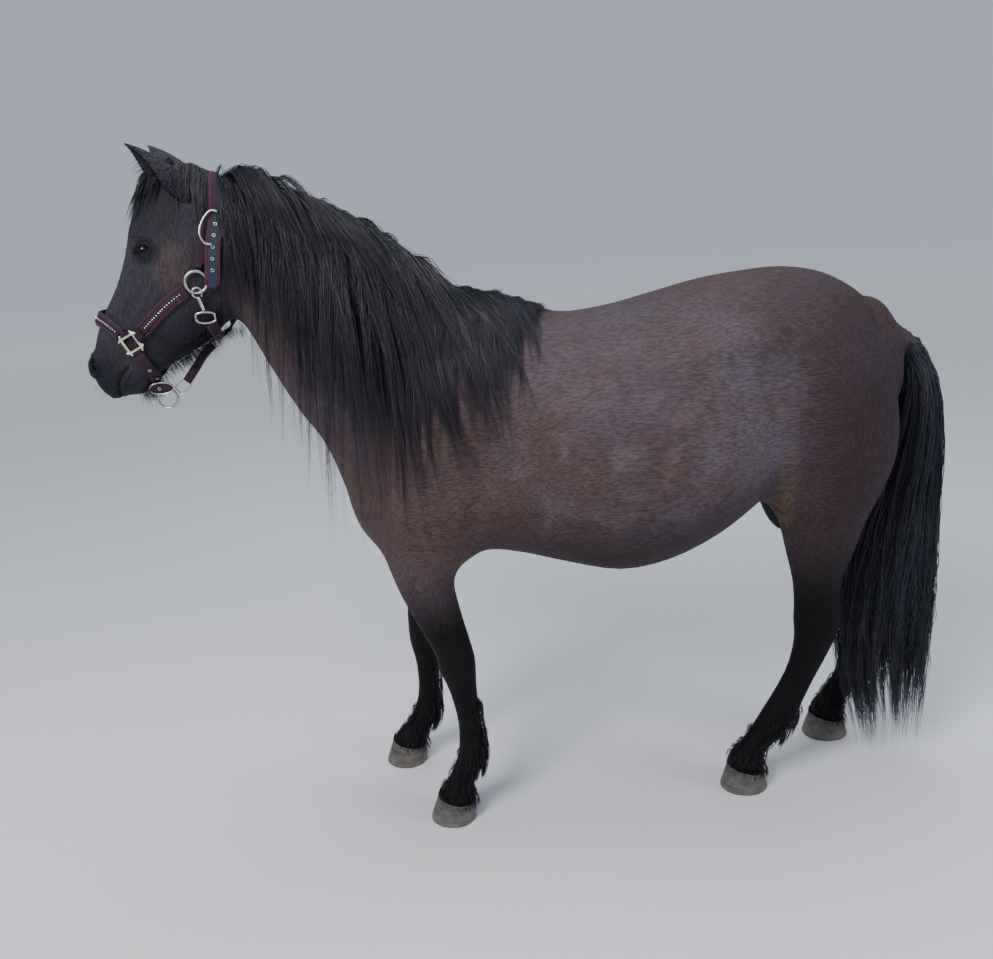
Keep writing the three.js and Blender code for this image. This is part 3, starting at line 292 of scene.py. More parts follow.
def nostrils(points):
    carve = np.zeros(len(points))
    for side in (-1, 1):
        q = points - NOSTRIL * [1, side, 1]
        bend = q[:, 0] + 0.012 * q[:, 2] ** 2
        ring = np.sqrt((bend / 6) ** 2 + (q[:, 1] / 12) ** 2 + (q[:, 2] / 15) ** 2)
        carve += 12 * np.exp(-ring ** 4) - 1.6 * np.exp(-((ring - 1.6) / 0.4) ** 2)
    return carve


def body_field(points):
    """The body with its folds, lips and nostrils, at the level of the skin."""
    d = plain_body(points) + COAT_DEPTH + side_lines(points) + ribs(points) + tendons(points)
    hind = points[:, 0] > DOCK_STARTS
    d[hind] = soft(d[hind], dock_form(points[hind]), BLEND["dock"])
    fore = points[:, 0] < FACE_ENDS
    d[fore] += mouth_and_lips(points[fore]) + nostrils(points[fore])
    return d


def eye_frame(side):
    """Centre of an eye, the way it looks, along its opening and across it."""
    centre = np.array(EYE["at"], float) * [1, side, 1]
    out = unit(np.array([-0.12, side, 0.06]))
    along = np.array([-0.92, 0, -0.38])
    along = unit(along - out * (along @ out))
    return centre, out, along, unit(np.cross(out, along)) * side


LID_THICK = 3.4
OPENING = {"long": 14.5, "high": 6.2, "away": 16.5}


def opening(q, out, along, across):
    """Where a direction from the eye's centre falls in the almond between the lids: below 1 inside."""
    ahead = np.maximum((q * out).sum(1), 1e-3)
    u, v = (OPENING["away"] * (q * way).sum(1) / ahead for way in (along, across))
    high = OPENING["high"] * np.where(v > 0, 1.1, 0.85)
    return np.sqrt((u / OPENING["long"]) ** 2 + (v / high) ** 2) + 0.10 * np.abs(u / 14) ** 3, v


def skin_field(points):
    """The body with lids round the eyes."""
    d = body_field(points)
    for side in (-1, 1):
        centre, out, along, across = eye_frame(side)
        q = points - centre
        r = np.linalg.norm(q, axis=1)
        near = (r < 60) & (q @ out > -6)
        if not near.any():
            continue
        qn, rn = q[near], r[near]
        almond, v = opening(qn, out, along, across)
        lids = soft(d[near], rn - EYE["radius"] - LID_THICK, 7)
        upper = np.clip(v / 6, 0, 1)
        fold = np.exp(-((almond - 1.85) / 0.16) ** 2) + 0.6 * np.exp(-((almond - 2.5) / 0.2) ** 2)
        lids = lids + upper * 1.6 * fold - 1.3 * np.exp(-((almond - 1.18) / 0.16) ** 2)
        hollow = np.minimum(rn - EYE["radius"] + 1.2, 10 * (1 - almond))
        d[near] = np.where(qn @ out > 0, np.maximum(lids, hollow), lids)
    return d


def slope(field, points, step=0.6):
    e = np.eye(3) * step
    return unit(np.stack([field(points + e[i]) - field(points - e[i]) for i in range(3)], 1))


def onto(field, points, level=0.0, tries=4):
    for _ in range(tries):
        gap = np.clip(field(points) - level, -25, 25)
        points = points - slope(field, points) * gap[:, None]
    return points


# Surfaces
def surface_net(field, low, high, cell, fine=4):
    """A closed surface of quads where a field is zero, looked for first on a grid of larger cells."""
    low, coarse = np.array(low, float), cell * fine
    n = np.ceil((np.array(high) - low) / coarse).astype(int) + 1
    axes = [low[i] + coarse * np.arange(n[i] + 1) for i in range(3)]
    seen = in_parts(field, np.stack(np.meshgrid(*axes, indexing="ij"), -1).reshape(-1, 3)).reshape(n + 1)
    eight = [(i, j, k) for i in (0, 1) for j in (0, 1) for k in (0, 1)]
    around = np.stack([seen[i:n[0] + i, j:n[1] + j, k:n[2] + k] for i, j, k in eight])
    least, most = around.min(0), around.max(0)
    blocks = np.argwhere((least < coarse * 0.9) & (most > -coarse * 0.9))
    N = n * fine + 1
    value = np.ones(N, np.float32)
    solid = np.where(least > 0, 1.0, -1.0)
    for axis in range(3):
        solid = np.repeat(solid, fine, axis)
    value[:-1, :-1, :-1] = solid
    inner = np.stack(np.meshgrid(*[np.arange(fine + 1)] * 3, indexing="ij"), -1).reshape(-1, 3)
    wanted = np.zeros(N, bool)
    at = (blocks[:, None] * fine + inner).reshape(-1, 3)
    wanted[tuple(at.T)] = True
    value[wanted] = in_parts(field, low + cell * np.argwhere(wanted))
    below = value < 0
    c = np.stack([below[i:N[0] - 1 + i, j:N[1] - 1 + j, k:N[2] - 1 + k] for i, j, k in eight])
    active = c.any(0) & ~c.all(0)
    cells = np.argwhere(active)
    index = np.full(active.shape, -1)
    index[active] = np.arange(len(cells))
    total, count = np.zeros((len(cells), 3)), np.zeros(len(cells))
    for a in eight:
        for b in eight:
            if a < b and sum(abs(p - q) for p, q in zip(a, b)) == 1:
                da, db = value[tuple((cells + a).T)], value[tuple((cells + b).T)]
                cut = (da < 0) != (db < 0)
                t = np.where(cut, da / np.where(cut, da - db, 1), 0)
                total += np.where(cut[:, None], a + np.subtract(b, a) * t[:, None], 0)
                count += cut
    return low + cell * (cells + total / count[:, None]), net_faces(below, index, N)


def net_faces(below, index, N):
    faces = []
    for axis in range(3):
        o = np.eye(3, dtype=int)[axis]
        s0 = below[:N[0] - 1, :N[1] - 1, :N[2] - 1]
        s1 = below[o[0]:N[0] - 1 + o[0], o[1]:N[1] - 1 + o[1], o[2]:N[2] - 1 + o[2]]
        e = np.argwhere(s0 != s1)
        U, W = np.eye(3, dtype=int)[(axis + 1) % 3], np.eye(3, dtype=int)[(axis + 2) % 3]
        e = e[(e @ U > 0) & (e @ W > 0)]
        q = np.stack([index[tuple((e + shift).T)] for shift in (-U - W, -W, 0 * U, -U)], 1)
        faces.append(np.where(s0[tuple(e.T)][:, None], q, q[:, ::-1]))
    return np.vstack(faces)


def split_triangles(points, tris, wanted):
    """Each wanted triangle in four, and its neighbours in as many as their split sides need."""
    edges = np.sort(tris[:, [[0, 1], [1, 2], [2, 0]]].reshape(-1, 2), 1)
    _, first, which = np.unique(edges @ [len(points), 1], return_index=True, return_inverse=True)
    which = which.reshape(-1, 3)
    cut = np.zeros(len(first), bool)
    cut[which[wanted]] = True
    new = np.cumsum(cut) - 1 + len(points)
    middle = points[edges[first[cut]]].mean(1)
    marks = cut[which]
    out = [tris[marks.sum(1) == 0]]
    for code in range(1, 8):
        flags = [(code >> i) & 1 for i in range(3)]
        rows = np.flatnonzero((marks == np.array(flags, bool)).all(1))
        if not len(rows):
            continue
        turn = {1: 0, 2: 1, 4: 2, 3: 0, 6: 1, 5: 2, 7: 0}[code]
        order = [(i + turn) % 3 for i in range(3)]
        a, b, c = tris[rows][:, order].T
        ab, bc, ca = new[which[rows]][:, order].T
        if code == 7:
            parts = [(a, ab, ca), (ab, b, bc), (ca, bc, c), (ab, bc, ca)]
        elif code in (1, 2, 4):
            parts = [(a, ab, c), (ab, b, c)]
        else:
            parts = [(ab, b, bc), (a, ab, bc), (a, bc, c)]
        out += [np.stack(p, 1) for p in parts]
    return np.vstack([points, middle]), np.vstack(out)


def place(points):
    """From the tables' millimetres to the frame's metres."""
    return (points - MIDDLE) * MM


def linked(name, data):
    """A new object in the scene."""
    made = bpy.data.objects.new(name, data)
    bpy.context.scene.collection.objects.link(made)
    return made


def mesh_object(name, points, faces, uv=None, tones=None, normals=None):
    """An object from arrays, with a map of the coat, tones and normals for each point where given."""
    mesh = bpy.data.meshes.new(name)
    count, sides = faces.shape
    mesh.vertices.add(len(points))
    mesh.vertices.foreach_set("co", np.ascontiguousarray(points, np.float32).ravel())
    mesh.loops.add(count * sides)
    mesh.loops.foreach_set("vertex_index", np.ascontiguousarray(faces, np.int32).ravel())
    mesh.polygons.add(count)
    mesh.polygons.foreach_set("loop_start", np.arange(0, count * sides, sides, dtype=np.int32))
    mesh.update(calc_edges=True)
    if uv is not None:
        layer = mesh.uv_layers.new(name="OFBake")
        layer.data.foreach_set("uv", np.ascontiguousarray(uv[faces.ravel()], np.float32).ravel())
    for label, values in (tones or {}).items():
        layer = mesh.attributes.new(label, "FLOAT", "POINT")
        layer.data.foreach_set("value", np.ascontiguousarray(values, np.float32))
    mesh.validate()
    mesh.shade_smooth()
    if normals is not None:
        mesh.normals_split_custom_set_from_vertices(normals.tolist())
    return linked(name, mesh)


# Skin
HEAD_FROM = -438
SKIN_BOX = ([-765, -275, 14], [845, 275, 1330])
SKIN_CELL = 6.6
# Above what z the head has finer skin, ahead of what x the lips are, and how far fine spots reach
HEAD_ABOVE = 850
LIPS_FROM = -640
FINE = {"mouth": 11, "eye": 34, "nostril": 28}


def near_line(points, line, reach):
    return line_distance(points[:, 0], points[:, 2], line)[0] < reach


def fine_spots(points):
    """Where the skin needs its finest triangles: eyes, nostrils and the line of the mouth."""
    near = near_line(points, MOUTH, FINE["mouth"]) & (points[:, 0] < LIPS_FROM)
    for side in (-1, 1):
        near |= np.linalg.norm(points - eye_frame(side)[0], axis=1) < FINE["eye"]
        near |= np.linalg.norm(points - NOSTRIL * [1, side, 1], axis=1) < FINE["nostril"]
    return near


def eased(points, tris, moved, share=0.5):
    """Chosen points drawn towards the middle of their neighbours."""
    total, count = np.zeros_like(points), np.zeros(len(points))
    for a, b in ((0, 1), (1, 2), (2, 0)):
        for s, t in ((a, b), (b, a)):
            np.add.at(total, tris[:, s], points[tris[:, t]])
            np.add.at(count, tris[:, s], 1)
    middle = total / np.maximum(count, 1)[:, None]
    out = points.copy()
    out[moved] += share * (middle - points)[moved]
    return out


def on_head(points):
    return (points[:, 0] < HEAD_FROM) & (points[:, 2] > HEAD_ABOVE)


def eye_spots(points):
    return fine_spots(points) & (points[:, 0] > -620)


def make_skin():
    """Points and triangles of the skin: once finer on the head, and finer still where it is carved."""
    points, quads = surface_net(body_field, *SKIN_BOX, SKIN_CELL)
    tris = np.vstack([quads[:, :3], quads[:, [0, 2, 3]]])
    for where in (on_head, fine_spots, eye_spots):
        points, tris = split_triangles(points, tris, where(points[tris].mean(1)))
        head = np.flatnonzero((points[:, 0] < HEAD_FROM + 8) & (points[:, 2] > HEAD_ABOVE - 5))
        points = eased(points, tris, head, 0.35)
        points[head] = onto(skin_field, points[head], tries=3)
    return points, tris


def point_normals(points, tris):
    a, b, c = points[tris[:, 0]], points[tris[:, 1]], points[tris[:, 2]]
    face = np.cross(b - a, c - a)
    out = np.zeros_like(points)
    for i in range(3):
        np.add.at(out, tris[:, i], face)
    return unit(out)


# Ears: cupped leaves, open ahead and outwards
EAR = {"base": (-508, 46, 1246), "tip": (-579, 64, 1324), "thick": 4.2, "bend": 5}
EAR_FORM = [  # how far along, radius, half the angle that the cup goes round
    (-0.3, 15, 175), (0, 23, 150), (0.2, 27, 126), (0.42, 26.5, 104), (0.68, 19.5, 88),
    (0.88, 9.5, 72), (1, 1.5, 60)]


def ear_frame(side):
    base, tip = (np.array(EAR[end]) * [1, side, 1] for end in ("base", "tip"))
    way = unit(tip - base)
    wanted = np.array([-0.75, side * 0.5, -0.3])
    ahead = unit(wanted - way * (wanted @ way))
    return base, tip, way, ahead, np.cross(way, ahead)


def ear_middle(base, tip, ahead, t):
    """The middle of an ear's ring, on a line that bends ahead."""
    return base + (tip - base) * t + EAR["bend"] * ahead * np.sin(np.pi * np.clip(t, 0, 1))


def make_ear(side):
    base, tip, way, ahead, across = ear_frame(side)
    form = smooth_rows(EAR_FORM, 5)
    steps = 20
    rings = []
    for t, radius, half in form:
        centre = ear_middle(base, tip, ahead, t)
        turn = np.pi + np.radians(np.linspace(-half, half, steps))
        rim = np.abs(np.linspace(-1, 1, steps)) ** 6
        outer = radius + 0 * turn
        inner = radius - EAR["thick"] * (1 - 0.55 * rim) * min(1, radius / 9)
        leaf = np.cos(turn)[:, None] * ahead + np.sin(turn)[:, None] * across
        rings.append(np.vstack([centre + outer[:, None] * leaf, (centre + inner[:, None] * leaf)[::-1]]))
    return closed_rings(rings, side < 0)


def closed_rings(rings, flip=False):
    """Triangles round a stack of closed rings, with a fan at each end."""
    n, k = len(rings[0]), len(rings)
    points = np.vstack(rings + [rings[0].mean(0), rings[-1].mean(0)])
    i = np.arange(n)
    j = (i + 1) % n
    tris = []
    for r in range(k - 1):
        a, b, c, d = r * n + i, r * n + j, (r + 1) * n + j, (r + 1) * n + i
        tris += [np.stack([a, b, c], 1), np.stack([a, c, d], 1)]
    tris.append(np.stack([j, i, 0 * i + n * k], 1))
    tris.append(np.stack([(k - 1) * n + i, (k - 1) * n + j, 0 * i + n * k + 1], 1))
    tris = np.vstack(tris)
    return points, tris[:, ::-1] if flip else tris


def joined(parts):
    points, faces, start = [], [], 0
    for p, f in parts:
        points.append(p)
        faces.append(f + start)
        start += len(p)
    return np.vstack(points), np.vstack(faces)


# The map of the coat: each side of each form has its own square of the unwrapped skin
MAP_CELLS = 4
MAP_LOW = np.array([-780, -300, 0])
MAP_SIZE = 1650.0
MAP_MARGIN = 0.02
PATCH = 0.003


def skin_map(points, normals):
    axis = np.abs(normals).argmax(1)
    facing = normals[np.arange(len(points)), axis] > 0
    square = axis * 4 + facing * 2 + (points[:, 1] > 0)
    others = np.array([[1, 2], [0, 2], [0, 1]])[axis]
    q = (points - MAP_LOW) / MAP_SIZE
    uv = np.take_along_axis(q, others, 1)
    corner = np.stack([square % MAP_CELLS, square // MAP_CELLS], 1)
    return (corner + MAP_MARGIN + (1 - 2 * MAP_MARGIN) * np.clip(uv, 0, 1)) / MAP_CELLS


def step(value, low, high):
    t = np.clip((value - low) / (high - low), 0, 1)
    return t * t * (3 - 2 * t)


# The way the coat lies on each part, before it is laid flat on the skin
LIE = {"trunk": (1, 0, -0.30), "leg": (0.05, 0, -1), "rump": (0.5, 0, -0.9), "neck": (0.55, 0, -0.75),
       "head": (-0.53, 0, -0.85)}


def lie(points, normals):
    x, z = points[:, 0], points[:, 2]
    leg = step(-z, -620, -520)[:, None]
    rump = step(x, 560, 720)[:, None] * (1 - leg)
    neck = (step(-x, 20, 220) * step(z, 620, 760))[:, None] * (1 - leg)
    head = (step(-x, 425, 470) * step(z, 850, 880))[:, None]
    way = np.array(LIE["trunk"]) * (1 - leg) * (1 - rump) * (1 - neck)
    way = way + leg * np.array(LIE["leg"]) + rump * np.array(LIE["rump"])
    way = way + neck * np.array(LIE["neck"])
    way = way * (1 - head) + head * np.array(LIE["head"])
    wander = columns(np.sin(z / 47 + x / 90), 0, np.sin(x / 61 - z / 80))
    way = way + 0.16 * wander * (1 - head)
    way = way - normals * (way * normals).sum(1, keepdims=True)
    return unit(way + 1e-6)


HOOVES = [  # name, sole: x, y, long, wide; top: x, z
    ("fore_hoof_left", (-133, -112, 52, 46), (-125, 44)),
    ("fore_hoof_right", (-241, 110, 51, 46), (-232, 44)),
    ("hind_hoof_left", (460, -84, 53, 44), (464, 44)),
    ("hind_hoof_right", (683, 86, 54, 44), (686, 44))]
CORONET_TILT = 0.2
CORONET = (40, 37)


def hoof_cut(points):
    """How far points are above the coronet of their leg."""
    best = points[:, 2] - 60
    for _, sole, top in HOOVES:
        near = (np.abs(points[:, 0] - sole[0]) < 90) & (np.abs(points[:, 1] - sole[1]) < 70)
        level = top[1] - CORONET_TILT * (points[:, 0] - top[0])
        best = np.where(near & (points[:, 2] < 120), points[:, 2] - level, best)
    return best


# Short coat: thin closed blades that lie along the skin
COAT_COUNT = 106000
COAT_PIECES = 4
SEED = {"coat": 31, "mane": 5, "forelock": 6, "tail": 9, "feather": 12, "fine_hairs": 14}


def blade_sizes(points):
    """Length and width of a blade of the coat, smallest on the face and feet."""
    x, z = points[:, 0], points[:, 2]
    face = step(-x, 470, 640) * step(z, 840, 880)
    feet = step(-z, -520, -330)
    ears = step(-x, 478, 500) * step(z, 1205, 1235)
    small = np.maximum(np.maximum(face, 0.85 * ears), 0.55 * feet)
    behind_jaw = np.exp(-((x + 500) / 60) ** 2 - ((z - 985) / 70) ** 2)
    return (12 - 8 * small + 8 * behind_jaw), (1.25 - 0.7 * small)


# Shares of a blade: how far its tip rises, how deep its root lies, its ridge, and how uneven its shading
BLADE = {"raised": (0.008, 0.034), "turned": 0.08, "sunk": 0.16, "ridge": 0.08, "ridge_at": 0.3,
         "uneven": 0.16}
BLADE_FACES = np.array([[0, 2, 1], [0, 3, 2], [1, 2, 3], [0, 1, 3]])
BLADE_MAP = np.array([[-0.5, -0.5], [0.5, -0.5], [0, 0], [0, 0.5]])


def blades(points, normals, way, rng):
    """Points, triangles, map, tones and normals of one thin blade at each place."""
    n = len(points)
    length, width = blade_sizes(points)
    length = length * rng.uniform(0.65, 1.2, n)
    width = width * rng.uniform(0.7, 1.15, n)
    side = np.cross(normals, way)
    turn = rng.normal(0, 0.16, n)[:, None]
    way = way * np.cos(turn) + side * np.sin(turn)
    side = np.cross(normals, way)
    turned = (1 - np.abs(normals[:, 1:2])) * step(-normals[:, 2:], -0.25, 0.15)
    raised = rng.uniform(*BLADE["raised"], (n, 1)) + BLADE["turned"] * turned * rng.random((n, 1)) ** 2
    root = points - BLADE["sunk"] * normals
    half = side * width[:, None] / 2
    ridge = points + normals * BLADE["ridge"] + way * length[:, None] * BLADE["ridge_at"]
    tip = points + (way + raised * normals) * length[:, None]
    corners = np.stack([root - half, root + half, ridge, tip], 1)
    tris = (np.arange(n)[:, None, None] * 4 + BLADE_FACES).reshape(-1, 3)
    uv = (skin_map(points, normals)[:, None] + BLADE_MAP * PATCH).reshape(-1, 2)
    tones = {"tone": np.repeat(rng.random(n), 4)}
    shading = unit(normals + BLADE["uneven"] * rng.normal(0, 1, (n, 1)) * side)
    return corners.reshape(-1, 3), tris, uv, tones, np.repeat(shading, 4, 0)


def scattered(points, tris, count, weight, rng):
    """Random places on a surface, with the smooth normal at each."""
    a, b, c = points[tris[:, 0]], points[tris[:, 1]], points[tris[:, 2]]
    area = np.linalg.norm(np.cross(b - a, c - a), axis=1) * weight((a + b + c) / 3)
    chosen = np.searchsorted(np.cumsum(area) / area.sum(), rng.random(count))
    chosen = np.minimum(chosen, len(tris) - 1)
    u, v = rng.random((2, count))
    over = u + v > 1
    u, v = np.where(over, 1 - u, u)[:, None], np.where(over, 1 - v, v)[:, None]
    normals = point_normals(points, tris)
    corners, ns = points[tris[chosen]], normals[tris[chosen]]
    at = corners[:, 0] * (1 - u - v) + corners[:, 1] * u + corners[:, 2] * v
    return at, unit(ns[:, 0] * (1 - u - v) + ns[:, 1] * u + ns[:, 2] * v)


def coat_weight(points):
    """How dense the coat is: none in the eyes, nostrils and hooves, thick where the blades are small."""
    length, width = blade_sizes(points)
    weight = 15 / (length * width)
    weight = weight * (1 - 0.45 * step(np.abs(points[:, 1]), 120, 200) * step(points[:, 2], 540, 640))
    for side in (-1, 1):
        centre, out, along, across = eye_frame(side)
        q = points - centre
        near = (np.linalg.norm(q, axis=1) < 40) & (q @ out > 0)
        weight = np.where(near & (opening(q, out, along, across)[0] < 1.3), 0, weight)
        hole = mass(points, *(NOSTRIL * [1, side, 1]), 10, 14, 19)
        weight = np.where(hole < 0, 0, weight)
    weight = np.where(near_line(points, MOUTH, 2.5) & (points[:, 0] < LIPS_FROM), 0, weight)
    return np.where(hoof_cut(points) < 0, 0, np.minimum(weight, 6))


def make_coat(points, tris):
    rng = np.random.default_rng(SEED["coat"])
    at, normals = scattered(points, tris, COAT_COUNT, coat_weight, rng)
    way = lie(at, normals)
    order = np.argsort(at[:, 0])
    pieces = []
    for part, rows in enumerate(np.array_split(order, COAT_PIECES)):
        made = blades(at[rows], normals[rows], way[rows], rng)
        pieces.append(mesh_object(f"coat_{part + 1}", place(made[0]), *made[1:]))
    return pieces


# Long hair: three-sided strands that taper to their tips
CORNERS = (0, 2.094, 4.189)


def strands(paths, width, name, roots, normals, rng):
    """A piece of hair from the paths of its strands, of shape (strand, point, 3)."""
    n, k, _ = paths.shape
    way = unit(np.gradient(paths, axis=1))
    side = unit(np.cross(way, unit(rng.normal(0, 1, (n, 1, 3)))))
    up = np.cross(way, side)
    t = np.linspace(0, 1, k)
    taper = np.minimum(0.7 + 3 * t, 1) * (1 - t ** 3) + 0.06
    radius = (width[:, None] / 2 * taper)[..., None]
    corners = np.stack([paths + radius * (np.cos(a) * side + np.sin(a) * up) for a in CORNERS], 2)
    base = np.arange(n)[:, None, None] * (3 * k) + np.arange(k - 1)[:, None] * 3
    i = np.arange(3)
    j = (i + 1) % 3
    quads = np.stack([base + i, base + j, base + 3 + j, base + 3 + i], -1).reshape(-1, 4)
    tris = np.vstack([quads[:, :3], quads[:, [0, 2, 3]]])
    first = np.arange(n)[:, None] * 3 * k
    ends = np.vstack([first + [2, 1, 0], first + 3 * (k - 1) + [0, 1, 2]])
    spots = np.stack(np.broadcast_arrays(np.array([-0.5, 0, 0.5]), t[:, None] - 0.5), -1) * PATCH
    uv = skin_map(roots, normals)[:, None, None] + spots
    tones = {"tone": np.repeat(rng.random(n), 3 * k), "along": np.tile(np.repeat(t, 3), n)}
    faces = np.vstack([tris, ends])
    return mesh_object(name, place(corners.reshape(-1, 3)), faces, uv.reshape(-1, 2), tones)


def grown(roots, first, length, lift, pull, down, steps, cling=14.0):
    """Paths that leave their roots, bend to their own weight, and lie on the body or hang clear of it."""
    out = slope(plain_body, roots)
    path = [roots - 6 * out, roots + 1.5 * out]
    way = unit(first)
    shares = np.linspace(0.3, 1.4, steps - 2)
    shares = shares / shares.sum()
    for done, share in zip(np.cumsum(shares), shares):
        way = unit(way * (1 - pull) + down * pull)
        here = path[-1] + way * (length * share)[:, None]
        gap = plain_body(here) - lift * min(1.0, 0.15 + 4.5 * done) * (1 - 0.45 * done)
        rise = slope(plain_body, here)
        push = np.where(gap < 0, -gap, -0.35 * gap * np.exp(-(gap / cling) ** 2))
        path.append(here + rise * push[:, None])
    return np.stack(path, 1)


def resampled(paths, share):
    """Each path cut to a share of its length, with the same number of points."""
    n, k, _ = paths.shape
    t = np.linspace(0, 1, k) * share[:, None] * (k - 1)
    low = np.minimum(t.astype(int), k - 2)
    f = (t - low)[..., None]
    rows = np.arange(n)[:, None]
    return paths[rows, low] * (1 - f) + paths[rows, low + 1] * f


def smoother(paths, steps):
    """More points on each path, on a smooth curve."""
    n, k, _ = paths.shape
    t = np.linspace(0, k - 1, steps)
    low = np.minimum(t.astype(int), k - 2)
    f = (t - low)[:, None]
    p = np.concatenate([2 * paths[:, :1] - paths[:, 1:2], paths, 2 * paths[:, -1:] - paths[:, -2:-1]], 1)
    return between(p[:, low], p[:, low + 1], p[:, low + 2], p[:, low + 3], f)


def clumped(guides, per_clump, spread, gather, wave, rng, steps, wild=0.04):
    """Strands round each guide: apart at the root, gathered at the tip, waved together."""
    g, k, _ = guides.shape
    paths = np.repeat(smoother(guides, steps), per_clump, 0)
    n = len(paths)
    t = np.linspace(0, 1, steps)[None, :, None]
    away = rng.normal(0, 1, (n, 1, 3)) * spread
    paths = paths + away * (0.35 + 1.2 * t * (1 - t)) * (1 - gather * t ** 1.5)
    reach = np.linalg.norm(np.diff(paths, axis=1), axis=2).sum(1)[:, None, None]
    phase = np.repeat(rng.uniform(0, 6.28, (g, 1, 3)), per_clump, 0) + rng.normal(0, 0.5, (n, 1, 3))
    turns_made = reach / wave["length"] * rng.uniform(0.85, 1.15, (n, 1, 1))
    size = wave["size"] * step(t, 0.12, 0.6) * rng.uniform(0.5, 1.3, (n, 1, 1))
    size = np.where(rng.random((n, 1, 1)) < wild, 2.2 * size, size)
    return paths + size * np.sin(phase + 6.28 * turns_made * t)


def kept_off(paths, least):
    """Paths pushed out where they would enter the body."""
    n, k, _ = paths.shape
    flat = paths[:, 2:].reshape(-1, 3)
    gap = in_parts(plain_body, flat) - least
    deep = np.flatnonzero(gap < 0)
    flat[deep] -= slope(plain_body, flat[deep]) * gap[deep][:, None]
    out = paths.copy()
    out[:, 2:] = flat.reshape(n, k - 2, 3)
    return out


MANE = [  # x, z of the roots, the longest hair there, how far back it leans as it falls, its height
    (-428, 1291, 250, -0.04, 40), (-398, 1274, 315, -0.03, 38), (-350, 1240, 455, -0.02, 32),
    (-300, 1204, 630, -0.01, 22), (-250, 1164, 655, 0.0, 16), (-200, 1121, 590, 0.03, 13),
    (-150, 1082, 490, 0.07, 11), (-90, 1040, 420, 0.05, 8), (-30, 1008, 400, 0.0, 6),
    (20, 1000, 330, -0.10, 3), (62, 994, 230, -0.2, 1.5), (96, 992, 90, -0.2, 1)]
MANE_WAVE = {"length": 130, "size": 3.6}
TAIL_WAVE = {"length": 98, "size": 6.5}
TUFT_WAVE = {"length": 70, "size": 1.3}


def owned(roots, per_clump):
    """The root of each strand's clump, with the body's slope there."""
    normals = slope(plain_body, roots)
    return np.repeat(roots, per_clump, 0), np.repeat(normals, per_clump, 0)


def in_pieces(paths, width, name, roots, normals, rng, count):
    return [strands(paths[part], width[part], f"{name}_{i + 1}", roots[part], normals[part], rng)
            for i, part in enumerate(np.array_split(np.arange(len(paths)), count))]


def make_mane():
    """Locks from the crest, of which the upper ones sweep back before they fall over the others."""
    rng = np.random.default_rng(SEED["mane"])
    count, per_clump = 280, 23
    curve = np.array(MANE, float)
    last = len(curve) - 1
    spot = ((np.arange(count) + rng.uniform(0, 1, count)) / count) ** 1.12 * last
    x, z, length, lean, height = (np.interp(spot, np.arange(last + 1), column) for column in curve.T)
    layer = rng.random(count)
    sweep = layer ** 1.5 * np.interp(spot, [0, 6, last], [1, 0.8, 0.2])
    thin = np.interp(spot, [0, 8, 10, last], [1, 0.8, 0.4, 0.2])
    roots = onto(plain_body, columns(x, -18 + 26 * layer, z), 0.0)
    upwards = np.interp(spot, [0, 2, 5, 8, last], [1, 0.7, 0.35, 0.25, 0.2])
    first = columns(rng.uniform(-0.15, 0.2, count) + 0.9 * sweep, -1.0, (0.1 + 0.7 * layer) * upwards)
    far_side = rng.random(count) < 0.05
    first[far_side] *= [1, -0.7, 0.3]
    length = length * rng.uniform(0.72, 1.04, count) * np.where(far_side, 0.3, 1)
    lift = 1.5 + height * layer + 4 * rng.random(count) * thin
    lean = lean + 0.3 * sweep - 0.08 * (1 - layer) + rng.normal(0, 0.045, count)
    down = unit(columns(lean, 0, -1))
    guides = grown(roots, first, length, lift, 0.22, down, 16)
    spread = np.repeat(columns(8.5, 3.0 * thin, 4.5 * thin), per_clump, 0)[:, None]
    paths = clumped(guides, per_clump, spread, 0.6, MANE_WAVE, rng, 11, 0.02)
    paths = resampled(paths, rng.uniform(0.6, 1.0, len(paths)) ** 0.7)
    paths = kept_off(paths, 1.5)
    width = rng.uniform(0.7, 1.7, len(paths)) * np.repeat(0.45 + 0.55 * thin, per_clump)
    pieces = in_pieces(paths, width, "mane", *owned(roots, per_clump), rng, 3)
    return pieces + [make_crest_hair(curve, rng)]


def make_crest_hair(curve, rng):
    """Short hair that stands along the crest, highest behind the ears."""
    count = 130
    x = rng.uniform(-434, 20, count)
    high = np.interp(x, [-434, -350, -200, 20], [1, 0.6, 0.2, 0.08])
    roots = columns(x, rng.uniform(-10, 16, count), np.interp(x, curve[:, 0], curve[:, 1]))
    first = columns(rng.uniform(0.1, 0.7, count), rng.uniform(-0.8, 0.1, count), 0.3 + high)
    lift = rng.uniform(4, 36, count) * high
    length = 50 + 70 * high * rng.random(count)
    return tufted("crest_hair", roots, first, length, lift, down=[0.4, -0.8, -0.5], per_clump=10,
                  spread=[5.0, 3.0, 3.0], width=(0.6, 1.3), rng=rng, pull=0.25, steps=6)


def tufted(name, roots, first, length, lift, down, per_clump, spread, width, rng, pull=0.3, steps=8):
    """A tuft: clumps that grow one way from roots near the body's surface and lie along it."""
    roots = onto(plain_body, roots, 0.0)
    guides = grown(roots, first, length, lift, pull, unit(np.array(down, float)), 10, 40.0)
    paths = clumped(guides, per_clump, np.array(spread), 0.6, TUFT_WAVE, rng, steps)
    paths = kept_off(resampled(paths, rng.uniform(0.6, 1, len(paths))), 0.8)
    paths[..., 2] = np.maximum(paths[..., 2], 6)
    return strands(paths, rng.uniform(*width, len(paths)), name, *owned(roots, per_clump), rng)


